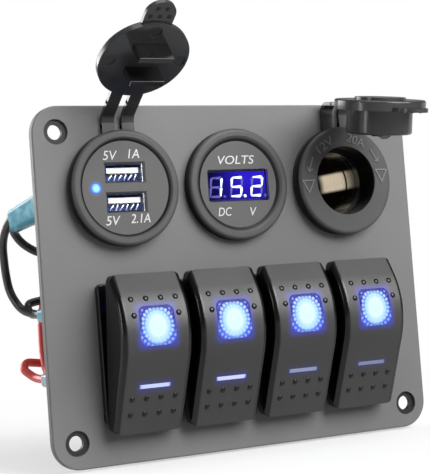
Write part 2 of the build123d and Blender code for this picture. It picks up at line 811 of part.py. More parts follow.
def switches():
    own_rocker, own_lenses = rocker(), lenses()
    for number, x in enumerate(switch_xs, start=1):
        frame = rocker_frame(x)
        save(f"switch_{number}_housing", switch_housing(x))
        save(f"switch_{number}_rocker", in_frame(frame, own_rocker))
        save(f"switch_{number}_lenses", [in_frame(frame, lens) for lens in own_lenses])
        save(f"switch_{number}_contact_arm", contact_arm(x))
    save("switch_pivot_pins", [pivot_pin(x) for x in switch_xs])
    save("switch_arm_cradles", [arm_cradle(x) for x in switch_xs])
    save("switch_lamp_boards", [lamp_board(x) for x in switch_xs])
    save("switch_lamp_leds", [led for x in switch_xs for led in lamp_leds(x)])
    save("switch_blades", [blade(f) for x in switch_xs for f in switch_frames(x, switch_z)])


# ---------------------------------------------------------------- connectors and wires

def sleeve(frame, pair):
    """Insulating sleeve in the blade's frame, open at both ends."""
    front = Plane((0, sleeve_standoff, 0), x_dir=(1, 0, 0), z_dir=(0, 1, 0))
    tail = front.offset(sleeve_len)
    body = loft([front * RectangleRounded(sleeve_w, sleeve_t, sleeve_corner_r),
                 tail * RectangleRounded(sleeve_tail_w, sleeve_tail_t, sleeve_corner_r)])
    pocket_end, tail_end = sleeve_standoff + sleeve_pocket_len, sleeve_standoff + sleeve_len + 1
    body -= slab(0, 0, sleeve_pocket_w, sleeve_pocket_t, 0, pocket_end)
    r = wire_d / 2 + wire_gap
    for dx in (-wire_pair, wire_pair) if pair else (0,):
        body -= rod(dx, 0, pocket_end - 1, tail_end, r)
    if pair:
        body -= slab(0, 0, 2 * wire_pair, 2 * r, pocket_end - 1, tail_end)
    return in_frame(frame, body)


def receptacle(frame):
    """Metal receptacle that grips the blade, and its crimp."""
    y0 = sleeve_standoff + receptacle_inset
    y1 = y0 + receptacle_len
    body = slab(0, 0, receptacle_w, receptacle_t, y0, y1)
    gap = 2 * blade_slot_gap
    body -= slab(0, 0, blade_w + gap, blade_t + gap, y0 - 1, blade_len + blade_slot_gap)
    body += slab(0, 0, crimp_w, crimp_w, y1, wire_start_y - crimp_gap)
    return in_frame(frame, body)


def wire_end(frame, side):
    """A wire's end at the crimp and its first bend past the sleeve; side is -1, 0 or 1."""
    return [frame.from_local_coords(Vector(side * wire_pair, y, 0))
            for y in (wire_start_y, wire_start_y + wire_exit)]


def wire(name, start, points, end):
    """Round lead along straight runs joined by tangent arcs."""
    route = start + [Vector(*p) for p in points] + end[::-1]
    runs = [b - a for a, b in zip(route[:-1], route[1:])]
    radii = []
    for before, after in zip(runs[:-1], runs[1:]):
        turn = before.get_angle(after)
        radii.append(0.45 * min(before.length, after.length) / tan(radians(turn) / 2))
    path = FilletPolyline(*route, radius=radii)
    section = Plane(path @ 0, z_dir=path % 0) * Circle(wire_d / 2)
    solid = sweep(section, path=path)
    print(name, "length", round(path.length, 1), "radii", [round(r, 1) for r in radii],
          "volume ratio", round(solid.volume / (section.area * path.length), 4))
    save(name, solid)


usb_minus, usb_plus = usb_frames
first_frames = switch_frames(switch_xs[0], switch_z)
second_frames = switch_frames(switch_xs[1], switch_z)
minus_frames = [(usb_minus, True), (meter_frames[0], False), (first_frames[0], True),
                (second_frames[0], False)]
plus_frames = [(usb_plus, False), (first_frames[2], True), (second_frames[2], False)]


def connectors():
    save("spade_sleeves_blue", [sleeve(frame, pair) for frame, pair in minus_frames])
    save("spade_sleeves_clear", [sleeve(frame, pair) for frame, pair in plus_frames])
    save("spade_receptacles", [receptacle(frame) for frame, pair in minus_frames + plus_frames])


def wires():
    wire("wire_black_usb_to_switch", wire_end(usb_minus, 1), black_usb_to_switch,
         wire_end(first_frames[0], -1))
    wire("wire_black_usb_to_meter", wire_end(usb_minus, -1), black_usb_to_meter,
         wire_end(meter_frames[0], 0))
    wire("wire_black_switch_to_switch", wire_end(first_frames[0], 1), black_switch_to_switch,
         wire_end(second_frames[0], 0))
    wire("wire_red_usb_to_switch", wire_end(usb_plus, 0), red_usb_to_switch,
         wire_end(first_frames[2], 1))
    wire("wire_red_switch_to_switch", wire_end(first_frames[2], -1), red_switch_to_switch,
         wire_end(second_frames[2], 0))


os.makedirs("parts", exist_ok=True)
save("panel_plate", panel())
usb_charger()
voltmeter()
power_socket()
save("ring_nuts", [ring_nut(x) for x in (usb_x, 0, socket_x)])
rubber_caps()
switches()
connectors()
wires()
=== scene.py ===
"""Looks of a vehicle switch panel: USB charger, voltmeter, 12 V socket and four lit rockers.

Lengths are metres. The panel stands in the XZ plane, its front towards -Y and +Z up.
"""

import json
import logging
import math
from dataclasses import dataclass
from enum import Enum
from typing import Optional, Sequence

import bmesh
import bpy
from mathutils import Matrix, Vector
from mathutils.bvhtree import BVHTree


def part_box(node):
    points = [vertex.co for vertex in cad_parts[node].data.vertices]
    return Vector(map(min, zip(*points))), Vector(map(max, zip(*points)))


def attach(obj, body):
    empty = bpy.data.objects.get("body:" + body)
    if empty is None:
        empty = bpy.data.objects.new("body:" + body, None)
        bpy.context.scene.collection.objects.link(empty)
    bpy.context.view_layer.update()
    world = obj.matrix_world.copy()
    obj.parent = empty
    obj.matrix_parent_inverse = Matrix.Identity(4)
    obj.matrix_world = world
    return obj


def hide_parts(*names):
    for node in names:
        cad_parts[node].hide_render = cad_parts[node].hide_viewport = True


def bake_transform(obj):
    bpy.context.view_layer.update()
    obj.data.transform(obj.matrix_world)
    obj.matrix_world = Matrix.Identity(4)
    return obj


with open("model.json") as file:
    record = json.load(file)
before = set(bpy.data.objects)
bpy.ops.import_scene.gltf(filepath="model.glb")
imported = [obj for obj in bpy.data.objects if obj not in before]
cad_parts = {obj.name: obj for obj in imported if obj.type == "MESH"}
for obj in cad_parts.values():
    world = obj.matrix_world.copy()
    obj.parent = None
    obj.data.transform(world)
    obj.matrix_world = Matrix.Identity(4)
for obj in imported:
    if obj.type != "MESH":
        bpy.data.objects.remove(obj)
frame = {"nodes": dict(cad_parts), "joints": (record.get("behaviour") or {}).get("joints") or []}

log = logging.getLogger("switch_panel")

Colour = tuple[float, float, float]
Socket = bpy.types.NodeSocket
Material = bpy.types.Material
Mesh = bmesh.types.BMesh
Face = bmesh.types.BMFace

MM = 0.001
UNLIT: Colour = (0.0, 0.0, 0.0)
# Near black painted on walls and edges as shade.
PAINTED_SHADE_BLACK: Colour = (0.003, 0.003, 0.003)
PRINT_LIFT = 0.005 * MM
PRINT_SLANT = 0.2
LIGHT_STRENGTH = 1.0
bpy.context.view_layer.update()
NODES: dict[str, bpy.types.Object] = frame["nodes"]
HINGES: dict[str, dict] = {joint["name"]: joint for joint in frame["joints"]}


# ---------------------------------------------------------------- shader graph


class Coat(Enum):
    """How a surface coat lies over the base: none, thin or lacquered."""

    NONE = 0.0
    THIN = 0.15
    LACQUER = 0.6


class Graph:
    """A material's node tree, with short ways to add and join nodes."""

    def __init__(self, name: str) -> None:
        """Start an empty material.

        Args:
            name: The material's name.
        """
        self.material = bpy.data.materials.new(name)
        self.material.use_nodes = True
        self.tree = self.material.node_tree
        self.tree.nodes.clear()
        self.output = self.tree.nodes.new("ShaderNodeOutputMaterial")

    def add(self, kind: str, **inputs: object) -> bpy.types.Node:
        """Add a node and fill its sockets.

        Args:
            kind: The node's type, without the ShaderNode prefix.
            inputs: Socket values or sockets to link, by name with _ for a space.

        Returns:
            The new node.
        """
        node = self.tree.nodes.new("ShaderNode" + kind)
        for key, value in inputs.items():
            self.join(node.inputs[key.replace("_", " ")], value)
        return node

    def join(self, socket: Socket, value: object) -> None:
        """Link a socket to another one, or set its value."""
        if isinstance(value, Socket):
            self.tree.links.new(value, socket)
        elif isinstance(value, tuple) and len(value) == 3 and socket.type == "RGBA":
            socket.default_value = (*value, 1.0)
        else:
            socket.default_value = value

    def place(self, origin: Sequence[float] = (0, 0, 0), tilt: float = 0.0,
              stretch: Sequence[float] = (1, 1, 1)) -> Socket:
        """Object coordinates about an origin, turned about X and stretched.

        Args:
            origin: The pattern's centre in the object's frame.
            tilt: Turn about X in radians.
            stretch: Scale along each axis.

        Returns:
            The coordinate socket.
        """
        coords = self.add("TexCoord").outputs["Object"]
        moved = self.add("VectorMath")
        moved.operation = "SUBTRACT"
        self.join(moved.inputs[0], coords)
        moved.inputs[1].default_value = tuple(origin)
        mapping = self.add("Mapping")
        self.join(mapping.inputs["Vector"], moved.outputs[0])
        mapping.inputs["Rotation"].default_value = (tilt, 0.0, 0.0)
        mapping.inputs["Scale"].default_value = tuple(stretch)
        return mapping.outputs["Vector"]

    def noise(self, coords: Socket, scale: float, detail: float = 3.0,
              roughness: float = 0.55) -> Socket:
        """Noise value of a given scale per metre."""
        node = self.add("TexNoise", Vector=coords, Scale=scale, Detail=detail, Roughness=roughness)
        return node.outputs[0]

    def maths(self, operation: str, a: object, b: object = 0.0, clamp: bool = False) -> Socket:
        """One maths operation on two values.

        Args:
            operation: The operation's name.
            a: First value or socket.
            b: Second value or socket.
            clamp: Whether the result is kept between 0 and 1.

        Returns:
            The result's socket.
        """
        node = self.add("Math")
        node.operation = operation
        node.use_clamp = clamp
        self.join(node.inputs[0], a)
        self.join(node.inputs[1], b)
        return node.outputs[0]

    def times(self, *factors: object) -> Socket:
        """Product of several values."""
        product = factors[0]
        for factor in factors[1:]:
            product = self.maths("MULTIPLY", product, factor)
        return product

    def most(self, *values: object) -> Socket:
        """Greatest of several values."""
        greatest = values[0]
        for value in values[1:]:
            greatest = self.maths("MAXIMUM", greatest, value)
        return greatest

    def apart(self, a: Socket, b: float) -> Socket:
        """How far one value is from another."""
        return self.maths("ABSOLUTE", self.maths("SUBTRACT", a, b))

    def radius(self, a: Socket, b: Socket) -> Socket:
        """Distance of a point from the origin, from its two places."""
        return self.maths("SQRT", self.maths("ADD", self.times(a, a), self.times(b, b)))

    def span(self, value: Socket, low: float, high: float, at_low: float = 0.0,
             at_high: float = 1.0, smooth: bool = True) -> Socket:
        """Map a value from one range to another.

        Args:
            value: The value to map.
            low: Where the range starts.
            high: Where the range ends.
            at_low: The result at its start.
            at_high: The result at its end.
            smooth: Whether the change eases in and out.

        Returns:
            The mapped value's socket.
        """
        node = self.add("MapRange")
        node.interpolation_type = "SMOOTHSTEP" if smooth else "LINEAR"
        self.join(node.inputs["Value"], value)
        for key, number in zip(("From Min", "From Max", "To Min", "To Max"), (low, high, at_low, at_high)):
            node.inputs[key].default_value = number
        return node.outputs[0]

    def blend(self, amount: object, a: object, b: object) -> Socket:
        """Mix two colours by an amount."""
        node = self.add("Mix")
        node.data_type = "RGBA"
        self.join(node.inputs[0], amount)
        self.join(node.inputs[6], a)
        self.join(node.inputs[7], b)
        return node.outputs[2]

    def split(self, coords: Socket) -> tuple[Socket, ...]:
        """X, Y and Z of a vector."""
        return tuple(self.add("SeparateXYZ", Vector=coords).outputs)

    def bump(self, height: Socket, depth: float,
             under: Optional[Socket] = None) -> Socket:
        """Normal bent by a height.

        Args:
            height: The height's socket, 0 to 1.
            depth: Its depth in metres.
            under: A normal that this one is laid on.

        Returns:
            The bent normal's socket.
        """
        node = self.add("Bump", Height=height, Distance=depth, Strength=1.0)
        if under is not None:
            self.join(node.inputs["Normal"], under)
        return node.outputs[0]

    def shade(self, **inputs: object) -> bpy.types.Node:
        """Finish the material with one Principled shader.

        Args:
            inputs: Its sockets, by name with _ for a space.

        Returns:
            The shader node.
        """
        shader = self.add("BsdfPrincipled", **inputs)
        self.join(self.output.inputs["Surface"], shader.outputs[0])
        return shader


@dataclass(frozen=True)
class Moulding:
    """Moulded or coated surface: mottled colour, uneven gloss and a fine grain.

    Attributes:
        name: Material name.
        colour: Mean colour.
        mottle: Share by which the colour varies.
        gloss: Mean roughness.
        gloss_spread: How far the roughness varies.
        grain: Grain size as noise scale per metre.
        depth: Grain depth in metres.
        coat: The coat over it.
        drift: Scale per metre of the slow variation.
        shine: Specular level, 0.5 for a plain plastic.
    """

    name: str
    colour: Colour
    mottle: float = 0.12
    gloss: float = 0.45
    gloss_spread: float = 0.08
    grain: float = 2600.0
    depth: float = 0.00002
    coat: Coat = Coat.NONE
    drift: float = 60.0
    shine: float = 0.5

    def surface(self, graph: Graph) -> dict[str, object]:
        """Sockets of this finish, for a shader in the given graph."""
        coords = graph.place()
        slow = graph.noise(coords, self.drift, 4.0)
        fine = graph.noise(coords, self.grain, 2.0)
        dark = tuple(c * (1 - self.mottle) for c in self.colour)
        pale = tuple(min(1.0, c * (1 + self.mottle)) for c in self.colour)
        colour = graph.blend(graph.span(slow, 0.3, 0.7), dark, pale)
        rough = graph.span(slow, 0.25, 0.75, self.gloss - self.gloss_spread,
                           self.gloss + self.gloss_spread)
        return {"Base_Color": colour, "Roughness": rough, "Normal": graph.bump(fine, self.depth),
                "Specular_IOR_Level": self.shine, "Coat_Weight": self.coat.value,
                "Coat_Roughness": 0.25}

    def make(self) -> Material:
        """The finished material."""
        graph = Graph(self.name)
        graph.shade(**self.surface(graph))
        return graph.material


@dataclass(frozen=True)
class Bezel:
    """Round bezel: textured on its front, with painted shade making its recess wall and outer wall black.

    Attributes:
        name: Material name.
        node: The CAD node it dresses.
        front: Finish of the front.
        mouth_r: Radius of the recess or mouth inside it.
        mouth_from: Depth at which the painted shade on the recess's wall starts.
        mouth_slack: How far past the recess's radius the black may reach.
        wall_r: Radius at which the outer wall starts.
        wall_from: Depth at which the painted shade on the outer wall starts.
        fade_y: Depth over which it turns black.
        fade_r: Width over which it turns black.
    """

    name: str
    node: str
    front: Moulding
    mouth_r: float
    mouth_from: float
    mouth_slack: float = 0.2 * MM
    wall_r: float = 17.8 * MM
    wall_from: float = 0.9 * MM
    fade_y: float = 0.4 * MM
    fade_r: float = 0.5 * MM

    def make(self) -> Material:
        """The finished material."""
        graph = Graph(self.name)
        sockets = self.front.surface(graph)
        low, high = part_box(self.node)
        axis = (low + high) / 2
        x, y, z = graph.split(graph.place((axis.x, low.y, axis.z)))
        r, rim = graph.radius(x, z), self.mouth_r + self.mouth_slack
        # Painted shade: the recess wall and the outer wall are painted black where they lie in shade.
        inside = graph.times(graph.span(y, self.mouth_from, self.mouth_from + self.fade_y),
                             graph.span(r, rim, rim + self.fade_r, 1.0, 0.0))
        outside = graph.times(graph.span(y, self.wall_from, self.wall_from + self.fade_y),
                              graph.span(r, self.wall_r, self.wall_r + self.fade_r))
        sockets["Base_Color"] = graph.blend(graph.most(inside, outside), sockets["Base_Color"], PAINTED_SHADE_BLACK)
        graph.shade(**sockets)
        return graph.material


@dataclass(frozen=True)
class Plating:
    """Plated or bare metal with fine drawn lines and a little tarnish.

    Attributes:
        name: Material name.
        colour: Metal colour.
        tarnish: Colour of its dull places.
        gloss: Mean roughness.
        lines: Line scale per metre, along each axis.
    """

    name: str
    colour: Colour
    tarnish: Colour
    gloss: float = 0.25
    lines: tuple[float, float, float] = (400.0, 4000.0, 4000.0)

    def make(self) -> Material:
        """The finished material."""
        graph = Graph(self.name)
        drawn = graph.noise(graph.place(stretch=self.lines), 1.0, 2.0)
        dull = graph.noise(graph.place(), 220.0, 4.0)
        colour = graph.blend(graph.span(dull, 0.5, 0.75), self.colour, self.tarnish)
        rough = graph.span(dull, 0.3, 0.8, self.gloss, self.gloss + 0.2)
        graph.shade(Base_Color=colour, Metallic=1.0, Roughness=rough,
                    Normal=graph.bump(drawn, 0.000008))
        return graph.material


@dataclass(frozen=True)
class Vinyl:
    """Translucent insulating sleeve.

    Attributes:
        name: Material name.
        tint: Colour of the vinyl.
        pale: Colour where it is stretched thin.
        clear: Share of light that passes through.
    """

    name: str
    tint: Colour
    pale: Colour
    clear: float

    def make(self) -> Material:
        """The finished material."""
        graph = Graph(self.name)
        cloud = graph.noise(graph.place(), 180.0, 3.0)
        colour = graph.blend(graph.span(cloud, 0.42, 0.72), self.tint, self.pale)
        graph.shade(Base_Color=colour, Roughness=graph.span(cloud, 0.2, 0.8, 0.18, 0.34),
                    Transmission_Weight=self.clear, IOR=1.52, Normal=graph.bump(cloud, 0.00006))
        return graph.material


@dataclass(frozen=True)
class Lamp:
    """Lit lamp with a pale core and a coloured rim.

    Attributes:
        name: Material name.
        centre: The lamp's middle in the row frame.
        core: Colour in the middle.
        rim: Colour at the edge.
        reach: Radius at which the rim colour is full.
    """

    name: str
    centre: tuple[float, float, float]
    core: Colour
    rim: Colour
    reach: float

    def make(self) -> Material:
        """The finished material."""
        graph = Graph(self.name)
        coords = graph.place(self.centre)
        x, _, z = graph.split(coords)
        r = graph.radius(x, z)
        ripple = graph.noise(coords, 1400.0, 2.0)
        wavy = graph.maths("ADD", r, graph.span(ripple, 0, 1, 0, self.reach * 0.25, False))
        edge = graph.span(wavy, self.reach * 0.35, self.reach * 1.15)
        colour = graph.blend(edge, self.core, self.rim)
        graph.shade(Base_Color=self.rim, Roughness=0.2, Emission_Color=colour,
                    Emission_Strength=LIGHT_STRENGTH, Normal=graph.bump(ripple, 0.00003))
        return graph.material


# ---------------------------------------------------------------- mesh helpers


def put(name: str, data: bpy.types.ID) -> bpy.types.Object:
    """New object with the given data, linked into the scene."""
    obj = bpy.data.objects.new(name, data)
    bpy.context.scene.collection.objects.link(obj)
    return obj


def extrude(part: Mesh, faces: Sequence[Face], step: Sequence[float]) -> list[Face]:
    """Extrude faces by a step.

    Args:
        part: The mesh they belong to.
        faces: What is extruded.
        step: How far and which way.

    Returns:
        The new end faces.
    """
    grown = bmesh.ops.extrude_face_region(part, geom=list(faces))["geom"]
    verts = [e for e in grown if isinstance(e, bmesh.types.BMVert)]
    bmesh.ops.translate(part, verts=verts, vec=step)
    return [e for e in grown if isinstance(e, Face)]


def dress(names: Sequence[str], material: Material) -> None:
    """Give CAD nodes one material.

    Args:
        names: The nodes' names.
        material: What they get.
    """
    for name in names:
        mesh = NODES[name].data
        mesh.materials.clear()
        mesh.materials.append(material)


def piece(name: str, mesh: Mesh, body: str, material: Material,
          smooth: Optional[float] = 40.0) -> bpy.types.Object:
    """Turn a bmesh into a piece that rides on a body.

    Args:
        name: The piece's name.
        mesh: Its shape in the row frame. It is freed.
        body: The CAD body that carries it.
        material: Its material.
        smooth: Edges under this angle in degrees are shaded smooth, none if it is None.

    Returns:
        The new object.
    """
    bmesh.ops.remove_doubles(mesh, verts=mesh.verts, dist=1e-7)
    bmesh.ops.recalc_face_normals(mesh, faces=mesh.faces)
    for face in mesh.faces:
        face.smooth = smooth is not None
    if smooth is not None:
        for edge in mesh.edges:
            edge.smooth = len(edge.link_faces) == 2 and edge.calc_face_angle(0.0) < math.radians(smooth)
    data = bpy.data.meshes.new(name)
    mesh.to_mesh(data)
    mesh.free()
    obj = put(name, data)
    data.materials.append(material)
    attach(obj, body)
    log.info("%s rides on %s, %d faces", name, body, len(data.polygons))
    return obj


def middle(node: str) -> Vector:
    """Middle of a CAD node's box."""
    low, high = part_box(node)
    return (low + high) / 2


def lettering(mesh: Mesh, words: str, height: float, turn: Matrix, slant: float = 0.0,
              thick: float = 0.05 * MM, width: Optional[float] = None) -> None:
    """Add raised letters to a mesh.

    Args:
        mesh: The mesh that takes them.
        words: The text.
        height: Capital height.
        turn: Places the text, whose middle is its origin and which reads along X with Y up.
        slant: Shear of the letters.
        thick: How far they stand up.
        width: If given, the text is stretched to this width.
    """
    curve = bpy.data.curves.new("letters", "FONT")
    curve.body = words
    curve.align_x, curve.align_y = "LEFT", "BOTTOM_BASELINE"
    curve.shear = slant
    curve.resolution_u = 4
    text = put("letters", curve)
    bpy.context.view_layer.update()
    flat = bpy.data.meshes.new_from_object(text)
    part = bmesh.new()
    part.from_mesh(flat)
    bpy.data.objects.remove(text)
    bpy.data.curves.remove(curve)
    bpy.data.meshes.remove(flat)
    bmesh.ops.remove_doubles(part, verts=part.verts, dist=1e-6)
    xs, ys = [v.co.x for v in part.verts], [v.co.y for v in part.verts]
    scale_y = height / (max(ys) - min(ys))
    scale_x = width / (max(xs) - min(xs)) if width else scale_y
    centre = Vector((max(xs) + min(xs), max(ys) + min(ys), 0)) / 2
    bmesh.ops.translate(part, verts=part.verts, vec=-centre)
    bmesh.ops.scale(part, verts=part.verts, vec=(scale_x, scale_y, 1))
    extrude(part, part.faces[:], (0, 0, thick))
    bmesh.ops.transform(part, matrix=turn, verts=part.verts)
    join_into(mesh, part)


def join_into(mesh: Mesh, part: Mesh) -> None:
    """Move one bmesh's geometry into another and free it."""
    data = bpy.data.meshes.new("part")
    part.to_mesh(data)
    part.free()
    mesh.from_mesh(data)
    bpy.data.meshes.remove(data)


def facing_front(x: float, y: float, z: float) -> Matrix:
    """Placement of a drawing in XY on a face that looks to -Y."""
    return Matrix.Translation((x, y, z)) @ Matrix.Rotation(math.pi / 2, 4, "X")


def print_words(name: str, node: str, words: Sequence[tuple[str, float, float, float]], height: float,
                ink: Material) -> None:
    """Print words on a face plate.

    Args:
        name: The piece's name.
        node: The face plate's node.
        words: Each text, with its middle's place from the plate's and its width.
        height: Letter height.
        ink: The print's material.
    """
    low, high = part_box(node)
    axis = (low + high) / 2
    mesh = bmesh.new()
    for text, dx, dz, width in words:
        turn = facing_front(axis.x + dx, low.y - PRINT_LIFT, axis.z + dz)
        lettering(mesh, text, height, turn, slant=PRINT_SLANT, width=width)
    piece(name, mesh, "panel", ink, None)


def dome(mesh: Mesh, radius: float, height: float, turn: Matrix, segments: int = 12,
         rings: int = 6) -> None:
    """Add a low dome whose axis is the placement's Z.

    Args:
        mesh: The mesh that takes it.
        radius: Foot radius.
        height: Crown height.
        turn: Its placement.
        segments: Steps round it.
        rings: Steps from pole to pole of the whole ball.
    """
    scale = Matrix.Diagonal((1.0, 1.0, height / radius, 1.0))
    bmesh.ops.create_uvsphere(mesh, u_segments=segments, v_segments=rings, radius=radius,
                              matrix=turn @ scale)


# ---------------------------------------------------------------- finishes


@dataclass(frozen=True)
class Finishes:
    """The finishes that several sub-assemblies share."""

    coat: Moulding = Moulding("powder_coat_black", (0.156, 0.153, 0.153), mottle=0.05, gloss=0.46,
                              gloss_spread=0.05, grain=1500.0, depth=0.00003, drift=25.0, shine=0.38)
    bezel: Moulding = Moulding("bezel_plastic", (0.068, 0.068, 0.068), mottle=0.06, gloss=0.46,
                               grain=3200.0, depth=0.00003, shine=0.35)
    face: Moulding = Moulding("face_plastic", (0.082, 0.081, 0.080), mottle=0.05, gloss=0.55,
                              grain=3600.0, depth=0.00003)
    shell: Moulding = Moulding("housing_plastic", (0.004, 0.004, 0.0042), mottle=0.2, gloss=0.26,
                               grain=2400.0, depth=0.00001, shine=0.4)
    rubber: Moulding = Moulding("cap_rubber", (0.040, 0.040, 0.040), mottle=0.15, gloss=0.2,
                                gloss_spread=0.04, grain=1800.0, depth=0.000005, shine=0.5)
    ink: Moulding = Moulding("printed_ink", (0.62, 0.62, 0.63), mottle=0.06, gloss=0.6,
                             grain=5000.0, depth=0.00001)
    nylon: Moulding = Moulding("tongue_nylon", (0.78, 0.80, 0.84), mottle=0.05, gloss=0.35)
    board: Moulding = Moulding("circuit_board", (0.015, 0.12, 0.05), mottle=0.25, gloss=0.35,
                               grain=900.0, depth=0.00005, coat=Coat.LACQUER)
    fibre: Moulding = Moulding("insulating_fibre", (0.32, 0.2, 0.11), mottle=0.25, gloss=0.7,
                               grain=1500.0, depth=0.00006)
    black_wire: Moulding = Moulding("black_insulation", (0.03, 0.03, 0.031), mottle=0.2, gloss=0.3,
                                    grain=900.0, depth=0.00003, coat=Coat.THIN)
    pip: Moulding = Moulding("cap_pip_rubber", (0.003, 0.003, 0.003), mottle=0.1, gloss=0.18, grain=5000.0,
                             depth=0.000005)
    plug: Moulding = Moulding("cap_plug_rubber", (0.010, 0.010, 0.010), mottle=0.2, gloss=0.14,
                              gloss_spread=0.03, grain=1800.0, depth=0.000004)
    red_wire: Moulding = Moulding("red_insulation", (0.84, 0.09, 0.08), mottle=0.08, gloss=0.3,
                                  grain=900.0, depth=0.00003, coat=Coat.THIN)
    nickel: Plating = Plating("bright_nickel", (0.72, 0.71, 0.68), (0.5, 0.47, 0.42), gloss=0.2)
    brass: Plating = Plating("contact_brass", (0.75, 0.56, 0.27), (0.45, 0.3, 0.13), gloss=0.26)
    blue_vinyl: Vinyl = Vinyl("blue_vinyl", (0.02, 0.38, 0.56), (0.18, 0.74, 0.88), 0.15)
    clear_vinyl: Vinyl = Vinyl("clear_vinyl", (0.42, 0.58, 0.72), (0.85, 0.9, 0.95), 0.5)


# ---------------------------------------------------------------- sub-assemblies


@dataclass
class Plate:
    """The panel's plate and the nuts behind it.

    Attributes:
        finishes: Shared finishes.
        hole_x: Corner holes' distance from the middle, across.
        hole_z: The same, upwards.
        sink_r: Radius of a hole's countersink.
    """

    finishes: Finishes
    hole_x: float = 62.0 * MM
    hole_z: float = 48.5 * MM
    sink_r: float = 4.0 * MM

    def build(self) -> None:
        """Dress the plate and the ring nuts."""
        dress(["panel_plate"], self.coated())
        dress(["ring_nuts"], self.finishes.shell.make())

    def coated(self) -> Material:
        """Powder coat, glossy, with painted shade darkening the countersinks."""
        graph = Graph("plate_coat")
        sockets = self.finishes.coat.surface(graph)
        x, _, z = graph.split(graph.place())
        dx = graph.maths("SUBTRACT", graph.maths("ABSOLUTE", x), self.hole_x)
        dz = graph.maths("SUBTRACT", graph.maths("ABSOLUTE", z), self.hole_z)
        # Painted shade: the countersinks are painted near black.
        sunk = graph.span(graph.radius(dx, dz), self.sink_r - 0.1 * MM, self.sink_r + 0.05 * MM, 1.0, 0.0)
        sockets["Base_Color"] = graph.blend(sunk, sockets["Base_Color"], (0.012, 0.012, 0.012))
        graph.shade(**sockets)
        return graph.material


